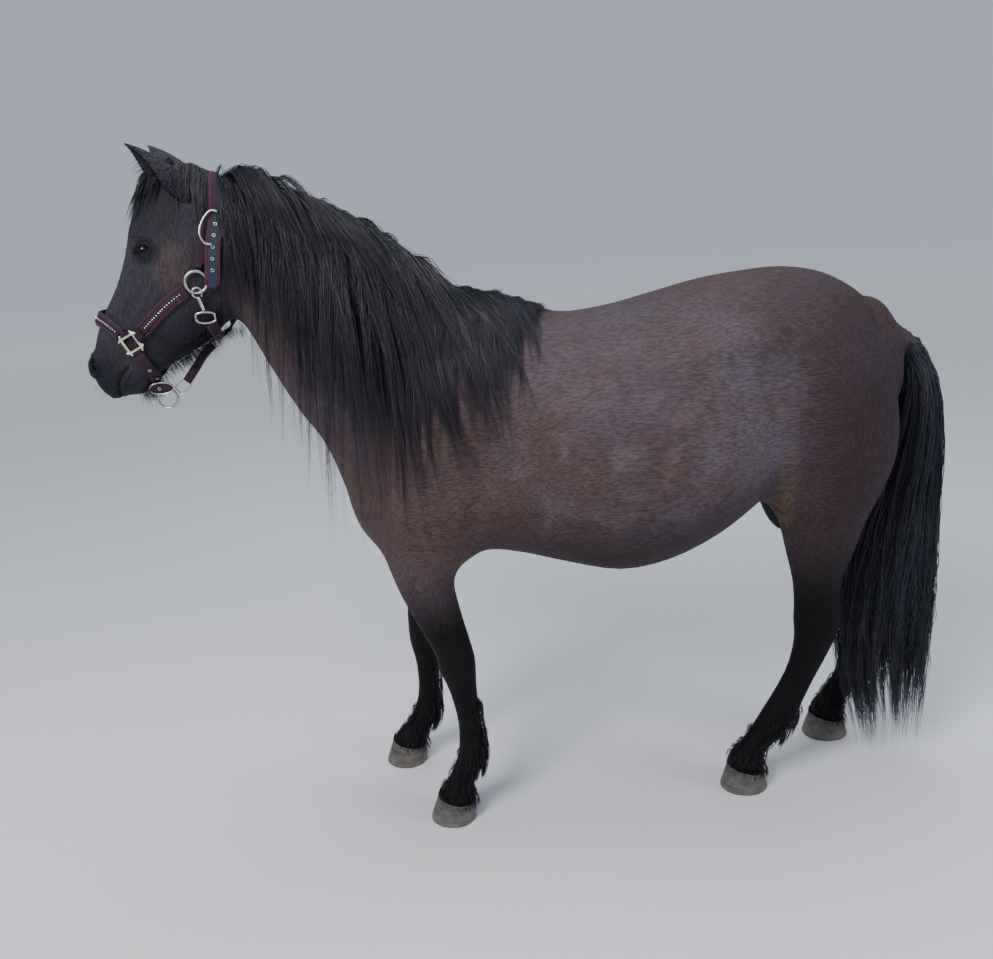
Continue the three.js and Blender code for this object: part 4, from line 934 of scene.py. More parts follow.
def make_forelock():
    """The forelock on the forehead, and on each side the straight hair between ear and headcollar."""
    rng = np.random.default_rng(SEED["forelock"])
    count = 86
    y = rng.uniform(-30, 30, count)
    roots = columns(-534 + rng.uniform(-16, 14, count), y, 1268.0)
    first = columns(-1.0, 0.02 * y, rng.uniform(-0.9, -0.3, count))
    length = rng.uniform(60, 125, count)
    lift = rng.uniform(2, 13, count)
    pieces = [tufted("forelock", roots, first, length, lift, down=[-0.3, -0.08, -1.0], per_clump=14,
                     spread=[4.0, 5.0, 4.0], width=(0.7, 1.4), rng=rng, pull=0.6, steps=9)]
    count = 60
    for name, side in SIDES:
        roots = columns(rng.uniform(-512, -442, count), side * rng.uniform(1, 26, count), 1292.0)
        first = columns(rng.uniform(-0.15, 0.1, count), side * 1.0, 0)
        length = rng.uniform(60, 135, count)
        lift = rng.uniform(1.5, 6, count)
        pieces.append(tufted(f"poll_hair_{name}", roots, first, length, lift, down=[-0.06, 0.0, -1.0],
                             per_clump=12, spread=[4.0, 1.2, 3.0], width=(0.5, 1.1), rng=rng))
    return pieces


TAIL = [  # middle x, y, z, reach behind, reach ahead, half width, radius of the dock
    (726, 0, 878, 23, 22, 23, 20), (766, 0, 882, 25, 24, 25, 18), (797, -2, 856, 31, 30, 29, 15),
    (813, -4, 800, 39, 40, 35, 11), (807, -6, 700, 55, 56, 43, 6), (790, -8, 600, 69, 71, 47, 0),
    (773, -10, 480, 87, 86, 50, 0), (764, -12, 360, 97, 96, 50, 0), (764, -12, 250, 96, 97, 47, 0),
    (772, -12, 150, 85, 84, 42, 0), (784, -12, 14, 62, 66, 32, 0)]


def make_tail():
    """Hair from all round the dock, which falls in a wavy bunch."""
    rng = np.random.default_rng(SEED["tail"])
    count, per_clump, steps = 160, 24, 16
    rows = smooth_rows(TAIL, 8)
    travel = travelled(rows[:, :3])
    way = unit(np.gradient(rows[:, :3], axis=0))
    rows = np.hstack([rows, -way[:, 2:], way[:, :1]])
    turn, share = rng.uniform(0, 2 * np.pi, (count, 1)), rng.uniform(0.15, 1, (count, 1)) ** 0.55
    start = 265 * rng.random((count, 1)) ** 1.25
    end = travel[-1] - 230 * rng.random((count, 1)) ** 2
    t = np.linspace(0, 1, steps)
    along = start + (end - start) * t
    x, y, z, behind, ahead, wide, dock, back_x, back_z = (
        np.interp(along, travel, column) for column in rows.T)
    turn = turn + 0.25 * np.sin(rng.uniform(0, 6.28, (count, 1)) + 6 * t) * t
    spread = share * step(along - start, 0, 170)
    reach = dock + (np.where(np.cos(turn) > 0, behind, ahead) - dock) * spread
    sideways = dock + (wide - dock) * spread
    guides = columns(x + reach * np.cos(turn) * back_x, y + sideways * np.sin(turn),
                     z + reach * np.cos(turn) * back_z)
    paths = clumped(guides, per_clump, np.array([7.0, 5.5, 3.0]), 0.42, TAIL_WAVE, rng, 14)
    paths = kept_off(resampled(paths, rng.uniform(0.66, 1.0, len(paths)) ** 0.6), 2.0)
    paths[..., 2] = np.maximum(paths[..., 2], 8)
    width = rng.uniform(0.9, 2.0, len(paths))
    roots = np.repeat(guides[:, 0], per_clump, 0)
    return in_pieces(paths, width, "tail", roots, unit(roots - [770, 0, 860]), rng, 3)


FETLOCKS = [  # the leg's table, the fetlock's height and how far above it the fringe starts
    (FORE_LEFT, 140, 120), (FORE_RIGHT, 122, 120), (HIND_LEFT, 145, 36), (HIND_RIGHT, 140, 36)]


def leg_surface(rows, z, turn, share=0.9):
    """Places on a leg at given heights and turns, where 0 is straight behind."""
    line = np.array(rows, float)
    line = line[np.argsort(line[:, 2])]
    x, y, back, ahead, wide = (np.interp(z, line[:, 2], line[:, i]) for i in (0, 1, 3, 4, 5))
    reach = np.where(np.cos(turn) > 0, back, ahead)
    return columns(x + share * reach * np.cos(turn), y + share * wide * np.sin(turn), z)


FEATHER_LEVELS = [-30, 0, 30, 120]
BELLS, CORONET_HAIRS = 104, 260


def make_fringe(rows, fetlock, above, name, rng):
    """The fringe down the back of one cannon."""
    count = 50 + above // 4
    high = -30 + (above + 30) * rng.random(count) ** 1.5
    turn = rng.normal(0, 0.55, count)
    back = np.cos(turn)[:, None]
    roots = leg_surface(rows, fetlock + high, turn)
    along = unit(leg_surface(rows, fetlock + high - 12, turn) - roots)
    flare = np.interp(high, FEATHER_LEVELS, [0.25, 0.5, 0.3, 0.1])[:, None]
    outwards = columns(np.cos(turn), np.sin(turn), 0)
    length = np.interp(high, FEATHER_LEVELS, [38, 76, 58, 26]) * rng.uniform(0.7, 1.2, count)
    down = np.array([0.04, 0, -1.0]) + 0.08 * outwards
    length = length * back[:, 0] ** 2
    lift = rng.uniform(0.5, 3, count)
    return tufted(f"feather_{name}", roots, along + flare * outwards, length, lift, down, per_clump=10,
                  spread=[2.2, 2.4, 8.0], width=(0.5, 1.1), rng=rng, pull=0.35)


def make_feather():
    """The fringe down the back of each cannon, the bell of hair on the pastern, and the coronet's edge."""
    rng = np.random.default_rng(SEED["feather"])
    pieces, bells, ways = [], [], []
    for (rows, fetlock, above), (name, *_) in zip(FETLOCKS, HOOVES):
        pieces.append(make_fringe(rows, fetlock, above, name, rng))
        turn = rng.uniform(0, 2 * np.pi, BELLS)
        high = 52 + (fetlock - 40) * rng.random(BELLS) ** 1.3
        bells.append(leg_surface(rows, high, turn))
        ways.append(unit(leg_surface(rows, high - 12, turn) - bells[-1]))
    roots, ways = np.vstack(bells), np.vstack(ways)
    length = rng.uniform(18, 32, len(roots))
    lift = rng.uniform(0.3, 1.6, len(roots))
    pieces.append(tufted("pastern_hair", roots, ways, length, lift, down=ways, per_clump=7,
                         spread=[1.8, 1.8, 6.0], width=(0.5, 1.0), rng=rng, pull=0.3, steps=5))
    roots, ways = [], []
    for _, sole, top in HOOVES:
        turn = rng.uniform(0, 2 * np.pi, CORONET_HAIRS)
        px = top[0] + (CORONET[0] - 2.5) * np.cos(turn)
        edge = top[1] - CORONET_TILT * (px - top[0])
        roots.append(columns(px, sole[1] + (CORONET[1] - 2.5) * np.sin(turn),
                             edge + rng.uniform(0, 9, CORONET_HAIRS)))
        ways.append(columns(0.5 * np.cos(turn), 0.5 * np.sin(turn), -1.0))
    length = rng.uniform(7, 14, 4 * CORONET_HAIRS)
    pieces.append(bristles("coronet_hair", np.vstack(roots), np.vstack(ways), length, rng, (0.5, 1.0)))
    return pieces


def bristles(name, roots, ways, lengths, rng, width):
    """Single short hairs, each bent a little by its weight."""
    t = np.linspace(-0.1, 1, 5)[None, :, None]
    bend = np.array([0, 0, -0.35]) * t ** 2
    paths = roots[:, None] + (unit(ways)[:, None] * t + bend) * lengths[:, None, None]
    return strands(paths, rng.uniform(*width, len(paths)), name, roots, unit(ways), rng)


def whiskers(side, rng):
    """Roots, ways and lengths of the muzzle's whiskers."""
    count = 34
    x, z = rng.uniform(-722, -640, count), rng.uniform(890, 960, count)
    spots = onto(plain_body, columns(x, side * 40.0, z), 0)
    return spots, unit(slope(plain_body, spots) + [-0.25, 0, -0.5]), rng.uniform(10, 32, count)


def lashes(side, rng):
    count = 46
    centre, out, along, across = eye_frame(side)
    turn = rng.uniform(0.15, np.pi - 0.15, count)
    flat = 14 * np.cos(turn)[:, None] * along + 10.2 * np.sin(turn)[:, None] * across
    spots = centre + unit(flat + OPENING["away"] * out) * (EYE["radius"] + 2.2)
    ways = unit(out + 0.4 * along + 0.35 * across + rng.normal(0, 0.12, (count, 3)))
    return spots, ways, rng.uniform(7, 12, count)


def ear_fringe(side, rng):
    count = 150
    base, tip, way, ahead, sideways = ear_frame(side)
    t = rng.uniform(0.02, 0.75, count)
    edge = np.where(rng.random(count) < 0.5, -1, 1)
    far, wide, round_by = np.array(EAR_FORM).T
    turn = np.pi + edge * np.radians(np.interp(t, far, round_by))
    radius = np.interp(t, far, wide) - 2
    leaf = np.cos(turn)[:, None] * ahead + np.sin(turn)[:, None] * sideways
    spots = ear_middle(base, tip, ahead, t[:, None]) + radius[:, None] * leaf
    ways = 0.9 * ahead + 0.5 * way - 0.5 * edge[:, None] * sideways * 0.6 + rng.normal(0, 0.2, (count, 3))
    return spots, unit(ways), rng.uniform(8, 22, count)


def jaw_hairs(rng):
    """The long hair under the jaw."""
    count = 1800
    x, y = rng.uniform(-640, -462, count), rng.uniform(-36, 36, count)
    low = np.interp(x, [-650, -600, -540, -480], [885, 898, 930, 965]) - 12
    spots = onto(plain_body, columns(x, y, low), 0, 6)
    ways = 0.6 * slope(plain_body, spots) + [0.5, 0, -0.6] + rng.normal(0, 0.3, (count, 3))
    return spots, ways, rng.uniform(9, 19, count) * rng.choice([1, 1, 1.5], count)


def make_fine_hairs():
    """Whiskers of the muzzle, lashes, the fringe inside the ears, and the hair under the jaw."""
    rng = np.random.default_rng(SEED["fine_hairs"])
    sets = [make(side, rng) for side in (-1, 1) for make in (whiskers, lashes, ear_fringe)]
    roots, ways, lengths = zip(*sets, jaw_hairs(rng))
    lengths = np.concatenate(lengths)
    return bristles("fine_hairs", np.vstack(roots), np.vstack(ways), lengths, rng, (0.25, 0.5))


# Eyes and hooves
def make_eye(side):
    """A ball with a bulging cornea, its rings round the way that the eye looks."""
    centre, out, along, across = eye_frame(side)
    lean = np.radians(np.concatenate([[0.5], np.linspace(3, 60, 28), np.linspace(66, 178, 18)]))
    turn = turns(48)
    bulge = 1.5 * np.exp(-(np.degrees(lean) / 30) ** 4)
    flat = np.cos(turn)[:, None] * along + np.sin(turn)[:, None] * across
    rings = [centre + (EYE["radius"] - 0.5 + extra) * (np.sin(a) * flat + np.cos(a) * out)
             for a, extra in zip(lean, bulge)]
    points, tris = closed_rings(rings, side > 0)
    q = (points - centre) / EYE["radius"]
    tones = {"iris_u": q @ along, "iris_v": q @ across, "iris_out": q @ out}
    name = "eyeball_left" if side < 0 else "eyeball_right"
    return mesh_object(name, place(points), tris, None, tones)


HOOF_LEVELS = 26
HOOF_SIDES = 64


def make_hoof(spec):
    """A hoof with growth rings, a heel that draws in, and a flat sole."""
    name, (x, y, long, wide), top = spec
    rng = np.random.default_rng(int(abs(x)))
    turn = turns(HOOF_SIDES)
    heel = np.where(np.cos(turn) > 0, 0.86 - 0.03 * np.cos(turn), 1)
    cleft = 1 - 0.16 * np.exp(-(np.minimum(turn, 2 * np.pi - turn) / 0.16) ** 2)
    wear = sum(rng.normal(0, 0.002, 1) * np.sin(k * turn + rng.uniform(0, 6)) for k in (2, 3, 5, 9))
    rings = [np.stack([x + 0.9 * long * heel * np.cos(turn), y + 0.9 * wide * np.sin(turn), 0 * turn], 1)]
    for t in np.linspace(0, 1, HOOF_LEVELS):
        grow = 0.985 - 0.05 * np.exp(-t / 0.03) + 0.006 * np.sin(34 * t ** 1.2)
        grow = grow + 0.03 * np.exp(-((t - 1) / 0.1) ** 2) + wear
        a, b = (long + (CORONET[0] - long) * t) * grow, (wide + (CORONET[1] - wide) * t) * grow
        px = x + (top[0] - x) * t + a * heel * cleft ** (1 - t) * np.cos(turn)
        pz = t * (top[1] - CORONET_TILT * (px - top[0]))
        rings.append(np.stack([px, y + b * np.sin(turn), pz], 1))
    inner = rings[-1].mean(0) + (rings[-1] - rings[-1].mean(0)) * 0.82 - [0, 0, 4]
    points, tris = closed_rings(rings + [inner])
    return mesh_object("wall_of_" + name, place(points), tris, None, {"along": points[:, 2] / 50})


# Headcollar: places are on the left side and are mirrored for the right
CROWN = [(-469, -70, 1076), (-457, -68, 1138), (-447, -66, 1181), (-439, -64, 1222), (-434, -50, 1262),
         (-431, -22, 1290), (-430, 0, 1296)]
CHEEK_STRAP = [(-486, -75, 1113), (-480, -73, 1134), (-470, -72, 1158), (-461, -70, 1178)]
KEEPER = [(-490, -76, 1118), (-478, -74, 1114)]
CROWN_BUCKLE = [(-440, -66, 1203), (-452, -70, 1206), (-466, -71, 1192), (-475, -72, 1170),
                (-468, -72, 1152), (-456, -70, 1148)]
RING_AT = (-493, -76, 1089)
CHEEKPIECE = [(-512, -74, 1076), (-535, -72, 1062), (-560, -70, 1044), (-585, -66, 1025), (-606, -62, 1009)]
SQUARE = {"at": (-630, -54, 990), "half": 19.5, "wire": 2.6}
NOSEBAND = [(-648, -50, 1006), (-662, -46, 1020), (-684, -36, 1032), (-697, -16, 1036), (-700, 0, 1036)]
LOWER_STRAP = [(-622, -48, 968), (-614, -44, 948), (-606, -36, 924), (-600, -22, 908), (-598, 0, 902)]
THROAT_STRAP = [(-485, -66, 1020), (-482, -58, 1000), (-480, -40, 980), (-478, -20, 970), (-478, 0, 968)]
SNAP = [(-492, -80, 1064), (-489, -80, 1052), (-486, -78, 1040)]
SNAP_HOOK = [(-492, -80, 1062), (-500, -80, 1068), (-499, -80, 1077), (-491, -80, 1080),
             (-485, -80, 1074), (-486, -80, 1064)]
SNAP_LOOP = [(-500, -78, 1036), (-486, -78, 1038), (-471, -77, 1034), (-470, -76, 1027),
             (-471, -75, 1021), (-486, -75, 1019), (-500, -76, 1023), (-502, -77, 1030)]
JAW_STRAP = [(-500, -2, 969), (-519, -2, 953), (-538, -2, 929), (-559, -2, 904)]
HUNG = (0, -1, 0)
STITCH_SIZE = (3.0, 0.7)
STITCH_EVERY = 4.2
RING = {"radius": 18.5, "wire": 2.6}
LEAD_RING_AT = (-600, -3, 875)
PLATE = {"at": (-605, -14, 897), "long": 22, "high": 11, "thick": 3, "faces": (0.1, -1, -0.12)}


def mirrored(points):
    return [(x, -y, z) for x, y, z in points]


def over_the_middle(points):
    return list(points) + mirrored(points)[::-1][1:]


def sided(points, side):
    return list(points) if side < 0 else mirrored(points)


def line_on_body(points, level, every=4.0, facing=None):
    """A smooth line laid at a level over the body, or hung free with its face one way, with its frames."""
    rough = smooth_rows(points, 8)
    along = travelled(rough)
    even = np.linspace(0, along[-1], max(int(along[-1] / every), 3) + 1)
    line = np.stack([np.interp(even, along, rough[:, i]) for i in range(3)], 1)
    if facing is None:
        line = onto(plain_body, line, level, 5)
    for _ in range(3):
        line[1:-1] = 0.5 * line[1:-1] + 0.25 * (line[:-2] + line[2:])
    way = unit(np.gradient(line, axis=0))
    normal = slope(plain_body, line) if facing is None else np.array([facing] * len(line), float)
    across = unit(np.cross(way, normal))
    return line, way, across, np.cross(across, way)


def strap(name, points, level, low, high, thick, finish, *nodes, round_end=False, facing=None):
    """One layer of webbing, from low to high across the strap and of some thickness over a level."""
    line, way, across, normal = line_on_body(points, level, facing=facing)
    steps = 10
    u = np.linspace(-1, 1, steps)
    edge = np.sqrt(np.maximum(1 - np.abs(u) ** 6, 0))
    upper = (0.12 + 0.88 * edge) * thick / 2
    middle, half = (low + high) / 2, (high - low) / 2
    rings, maps = [], []
    for p, a, n, d in zip(line, across, normal, travelled(line)):
        end = min(1.0, 0.35 + 0.65 * min(d, 8) / 8) if round_end else 1.0
        v = middle + half * u * end
        top = p + v[:, None] * a + (upper + thick / 2)[:, None] * n
        under = p + v[::-1, None] * a + (thick / 2 - upper[::-1])[:, None] * n
        rings.append(np.vstack([top, under]))
        maps.append(columns(d, np.concatenate([v, v[::-1]])))
    made, tris = closed_rings(rings)
    u, v = (np.vstack(maps + [maps[0].mean(0), maps[-1].mean(0)]) * MM).T
    piece = outward(mesh_object(name, place(made), tris, None, {"strap_u": u, "strap_v": v}))
    return dress(piece, WEAR[finish], "webbing", *nodes)


def outward(piece):
    """A closed piece with all its faces turned out."""
    grid = bmesh.new()
    grid.from_mesh(piece.data)
    bmesh.ops.recalc_face_normals(grid, faces=grid.faces)
    grid.to_mesh(piece.data)
    grid.free()
    return piece


def wire(name, points, radius, finish, *nodes, closed=False, sides=12, smooth=6):
    """Round metal wire through places."""
    line = np.array(points, float)
    if closed:
        line = np.vstack([line[-1:], line, line[:2]])
    line = smooth_rows(line, smooth)
    if closed:
        line = line[smooth:-smooth][:-1]
    way = unit(np.roll(line, -1, 0) - np.roll(line, 1, 0)) if closed else unit(np.gradient(line, axis=0))
    start = np.array([0.31, 0.9, 0.2])
    normals = []
    for w in way:
        start = unit(start - w * (start @ w))
        normals.append(start)
    normals = np.array(normals)
    across = np.cross(way, normals)
    turn = turns(sides)
    rings = [p + radius * (np.cos(turn)[:, None] * n + np.sin(turn)[:, None] * a)
             for p, n, a in zip(line, normals, across)]
    if closed:
        points = np.vstack(rings)
        r, i = np.meshgrid(np.arange(len(rings)), np.arange(sides), indexing="ij")
        nxt, j = (r + 1) % len(rings), (i + 1) % sides
        quads = np.stack([r * sides + i, r * sides + j, nxt * sides + j, nxt * sides + i], -1).reshape(-1, 4)
        tris = np.vstack([quads[:, :3], quads[:, [0, 2, 3]]])
    else:
        points, tris = closed_rings(rings)
    return dress(outward(mesh_object(name, place(points), tris)), WEAR[finish], "metal", *nodes)


def circle(centre, normal, radius, count=20):
    normal = unit(np.array(normal, float))
    side = unit(np.cross(normal, [0.3, 0.1, 1.0]))
    up = np.cross(normal, side)
    turn = turns(count)
    return np.array(centre) + radius * (np.cos(turn)[:, None] * side + np.sin(turn)[:, None] * up)


def laid(points, level):
    return onto(plain_body, np.array(points, float), level, 5)


# Small repeated pieces of the tack, each tree set on a mesh of places that carry their own frames
def set_input(modifier, name, value):
    for item in modifier.node_group.interface.items_tree:
        if item.item_type == "SOCKET" and item.in_out == "INPUT" and item.name == name:
            modifier[item.identifier] = value


def tack_tree(name, build):
    """A tree that puts one small form on each place, turned to the place's frame."""
    tree = bpy.data.node_groups.new(name, "GeometryNodeTree")
    face = tree.interface
    face.new_socket("Places", in_out="INPUT", socket_type="NodeSocketGeometry")
    for label, value in (("Length", 0.004), ("Width", 0.001)):
        face.new_socket(label, in_out="INPUT", socket_type="NodeSocketFloat").default_value = value
    face.new_socket("Finish", in_out="INPUT", socket_type="NodeSocketMaterial")
    face.new_socket("Pieces", in_out="OUTPUT", socket_type="NodeSocketGeometry")
    nodes, links = tree.nodes, tree.links
    given, out = nodes.new("NodeGroupInput"), nodes.new("NodeGroupOutput")
    form = build(nodes, links, given)
    spots = nodes.new("GeometryNodeInstanceOnPoints")
    previous = None
    for label, axis, pivot in (("outward", "Z", "AUTO"), ("along", "X", "Z")):
        frame_of = nodes.new("GeometryNodeInputNamedAttribute")
        frame_of.data_type = "FLOAT_VECTOR"
        frame_of.inputs["Name"].default_value = label
        turn = nodes.new("FunctionNodeAlignRotationToVector")
        turn.axis, turn.pivot_axis = axis, pivot
        links.new(frame_of.outputs["Attribute"], turn.inputs["Vector"])
        if previous:
            links.new(previous.outputs[0], turn.inputs["Rotation"])
        previous = turn
    links.new(previous.outputs[0], spots.inputs["Rotation"])
    real, finish = nodes.new("GeometryNodeRealizeInstances"), nodes.new("GeometryNodeSetMaterial")
    links.new(given.outputs["Places"], spots.inputs["Points"])
    links.new(form, spots.inputs["Instance"])
    links.new(spots.outputs[0], real.inputs[0])
    links.new(real.outputs[0], finish.inputs["Geometry"])
    links.new(given.outputs["Finish"], finish.inputs["Material"])
    links.new(finish.outputs[0], out.inputs[0])
    return tree


def scaled(nodes, links, given, form, *sizes):
    """A form of unit size, scaled by the tree's inputs or by shares of them."""
    parts = nodes.new("ShaderNodeCombineXYZ")
    for socket, (label, share) in zip(parts.inputs, sizes):
        part = nodes.new("ShaderNodeMath")
        part.operation = "MULTIPLY"
        links.new(given.outputs[label], part.inputs[0])
        part.inputs[1].default_value = share
        links.new(part.outputs[0], socket)
    resize = nodes.new("GeometryNodeTransform")
    links.new(form, resize.inputs["Geometry"])
    links.new(parts.outputs[0], resize.inputs["Scale"])
    return resize.outputs[0]


def stitch_form(nodes, links, given):
    ball = nodes.new("GeometryNodeMeshUVSphere")
    ball.inputs["Segments"].default_value = 6
    ball.inputs["Rings"].default_value = 5
    ball.inputs["Radius"].default_value = 0.5
    return scaled(nodes, links, given, ball.outputs["Mesh"], ("Length", 1), ("Width", 1), ("Width", 1))


def stone_form(nodes, links, given):
    """A cut stone: a table, a sloping crown and a girdle."""
    cone = nodes.new("GeometryNodeMeshCone")
    for label, value in (("Vertices", 8), ("Radius Top", 0.27), ("Radius Bottom", 0.5), ("Depth", 0.32)):
        cone.inputs[label].default_value = value
    return scaled(nodes, links, given, cone.outputs["Mesh"], ("Length", 1), ("Length", 1), ("Length", 1))


def eyelet_form(nodes, links, given):
    ring = nodes.new("GeometryNodeCurvePrimitiveCircle")
    profile = nodes.new("GeometryNodeCurvePrimitiveCircle")
    ring.inputs["Resolution"].default_value = 20
    ring.inputs["Radius"].default_value = 0.38
    profile.inputs["Resolution"].default_value = 8
    profile.inputs["Radius"].default_value = 0.12
    sweep = nodes.new("GeometryNodeCurveToMesh")
    links.new(ring.outputs[0], sweep.inputs["Curve"])
    links.new(profile.outputs[0], sweep.inputs["Profile Curve"])
    return scaled(nodes, links, given, sweep.outputs[0], ("Length", 1), ("Length", 1), ("Length", 0.8))


def repeated(name, tree, spots, size, finish, slot):
    """A plain mesh of one small form on each of the places (point, outward, along)."""
    at, *ways = (np.array(v, float) for v in spots)
    mesh = bpy.data.meshes.new(name)
    mesh.from_pydata(place(at).tolist(), [], [])
    for label, values in zip(("outward", "along"), ways):
        layer = mesh.attributes.new(label, "FLOAT_VECTOR", "POINT")
        layer.data.foreach_set("vector", np.ascontiguousarray(values, np.float32).ravel())
    source = linked(name + "_places", mesh)
    modifier = source.modifiers.new("Tack", "NODES")
    modifier.node_group = tree
    for label, value in (("Length", size[0] * MM), ("Width", size[1] * MM), ("Finish", WEAR[finish])):
        set_input(modifier, label, value)
    graph = bpy.context.evaluated_depsgraph_get()
    made = bpy.data.meshes.new_from_object(source.evaluated_get(graph))
    made.name = name
    bpy.data.objects.remove(source)
    return dress(outward(linked(name, made)), None, slot)


def spots_on(points, level, across_at, every, start=0.0, end=0.0, facing=None):
    """Evenly spaced places along a strap, at a distance across it."""
    line, way, across, normal = line_on_body(points, level, 1.0, facing)
    travel = travelled(line)
    at = np.arange(start, travel[-1] - end, every)
    rows = np.minimum(np.searchsorted(travel, at), len(line) - 1)
    at_level = 0 if facing is None else level
    return [line[rows] + across_at * across[rows] + at_level * normal[rows], normal[rows], way[rows]]


def all_spots(*groups):
    return [np.vstack([g[i] for g in groups]) for i in range(3)]


# Materials: shader maths as Python expressions
class Value:
    """A number in a shader, with sums that add Math nodes."""

    def __init__(self, shader, socket):
        self.shader, self.socket = shader, socket

    def math(self, operation, *terms, clamp=False):
        settings = {"operation": operation, "use_clamp": clamp}
        return self.shader.add("ShaderNodeMath", settings, dict(enumerate(terms)))

    def __add__(self, other):
        return self.math("ADD", self, other)

    def __mul__(self, other):
        return self.math("MULTIPLY", self, other)

    def __sub__(self, other):
        return self.math("SUBTRACT", self, other)

    def __rsub__(self, other):
        return self.math("SUBTRACT", other, self)

    def __truediv__(self, other):
        return self.math("DIVIDE", self, other)

    __radd__ = __add__
    __rmul__ = __mul__

    def clamped(self):
        return self.math("ADD", self, 0.0, clamp=True)

    def ramp(self, low, high):
        """0 below low, 1 above high and smooth between them."""
        inputs = {"Value": self, "From Min": low, "From Max": high}
        return self.shader.add("ShaderNodeMapRange", {"interpolation_type": "SMOOTHSTEP"}, inputs)


class Shader:
    """A node material under construction."""

    def __init__(self, name):
        self.material = bpy.data.materials.new(name)
        self.material.use_nodes = True
        self.nodes, self.links = self.material.node_tree.nodes, self.material.node_tree.links
        self.surface = self.nodes["Principled BSDF"]

    def add(self, kind, settings=None, inputs=None, output=0):
        """Any node: its settings first, then values or links for its sockets. Returns one output."""
        node = self.nodes.new(kind)
        for key, value in (settings or {}).items():
            setattr(node, key, value)
        for key, value in (inputs or {}).items():
            self.feed(node.inputs[key], value)
        return Value(self, node.outputs[output])

    def feed(self, socket, value):
        if isinstance(value, Value):
            self.links.new(value.socket, socket)
        else:
            socket.default_value = value

    def position(self):
        """The object's own coordinates, as a vector and as three numbers."""
        spot = self.add("ShaderNodeTexCoord", output="Object")
        parts = [self.add("ShaderNodeSeparateXYZ", inputs={0: spot}, output=i) for i in range(3)]
        return spot, parts

    def attribute(self, name):
        return self.add("ShaderNodeAttribute", {"attribute_name": name}, output="Fac")

    def mix(self, factor, a, b):
        """Two colours mixed."""
        factor = factor if isinstance(factor, Value) else float(factor)
        node = self.nodes.new("ShaderNodeMix")
        node.data_type = "RGBA"
        for key, value in ((0, factor), (6, a), (7, b)):
            value = (*value, 1.0) if isinstance(value, tuple) else value
            self.feed(node.inputs[key], value)
        return Value(self, node.outputs[2])

    def tinted(self, colour, factor):
        """A colour made lighter or darker by a number."""
        return self.add("ShaderNodeVectorMath", {"operation": "SCALE"}, {0: colour, "Scale": factor})

    def noise(self, vector, scale, detail=3.0, roughness=0.5):
        inputs = {"Vector": vector, "Scale": scale, "Detail": detail, "Roughness": roughness}
        return self.add("ShaderNodeTexNoise", None, inputs)

    def stretched(self, vector, factors):
        return self.add("ShaderNodeVectorMath", {"operation": "MULTIPLY"}, {0: vector, 1: factors})

    def bump(self, height, strength, distance, under=None):
        inputs = {"Height": height, "Strength": strength, "Distance": distance}
        if under:
            inputs["Normal"] = under
        return self.add("ShaderNodeBump", None, inputs)

    def finish(self, **inputs):
        for key, value in inputs.items():
            label = key.replace("_", " ")
            if isinstance(value, tuple) and len(value) == 3:
                value = (*value, 1.0)
            self.feed(self.surface.inputs[label], value)
        return self.material


# Colours of the coat, and the scale of its grain
BROWN = (0.064, 0.047, 0.057)
RED_BROWN = (0.064, 0.038, 0.036)
DAPPLE = (0.104, 0.078, 0.082)
GOLD = (0.120, 0.071, 0.045)
# painted sheen: a pale blue-grey that stands for the sky's sheen on the dark coat
PAINTED_SHEEN = (0.094, 0.083, 0.106)
# painted shade: a much darker colour for the underside of the barrel
BELLY_SHADE = (0.017, 0.0105, 0.013)
HAUNCH = (0.026, 0.0155, 0.019)
BLACK = (0.0022, 0.0020, 0.0032)
FACE_BROWN = (0.025, 0.0255, 0.037)
CHEEK_BROWN = (0.048, 0.033, 0.031)
MUZZLE = (0.0095, 0.0098, 0.0150)
FIBRE = 330.0
COAT_GLOSS = 0.11
# Colours of the long hair at the root, the tip and in the streaks, and how strong the streaks are
HAIR = {
    "mane": ((0.009, 0.0095, 0.0175), (0.022, 0.021, 0.031), (0.066, 0.056, 0.064), 0.9),
    "tail": ((0.014, 0.0147, 0.0245), (0.019, 0.0196, 0.0308), (0.050, 0.046, 0.059), 0.5),
    "poll": ((0.018, 0.016, 0.018), (0.047, 0.042, 0.048), (0.086, 0.076, 0.080), 0.7),
    "black": ((0.0038, 0.004, 0.0065), (0.006, 0.006, 0.0095), (0.014, 0.012, 0.016), 0.4)}


def spot_mask(shader, parts, x, z, long, high):
    """1 at a place on both sides of the body, falling to 0 at its edge. Millimetres of the tables."""
    u = (parts[0] - (x - MIDDLE[0]) * MM) / (long * MM)
    v = (parts[2] - z * MM) / (high * MM)
    return (1.0 - (u * u + v * v)).ramp(0.0, 1.0)


def mixed_spots(shader, parts, colour, other, spots, detail=1.0):
    """A colour mixed with another in places: x, z, reach along and up, share."""
    for x, z, long, high, share in spots:
        colour = shader.mix(spot_mask(shader, parts, x, z, long, high) * detail * share, colour, other)
    return colour


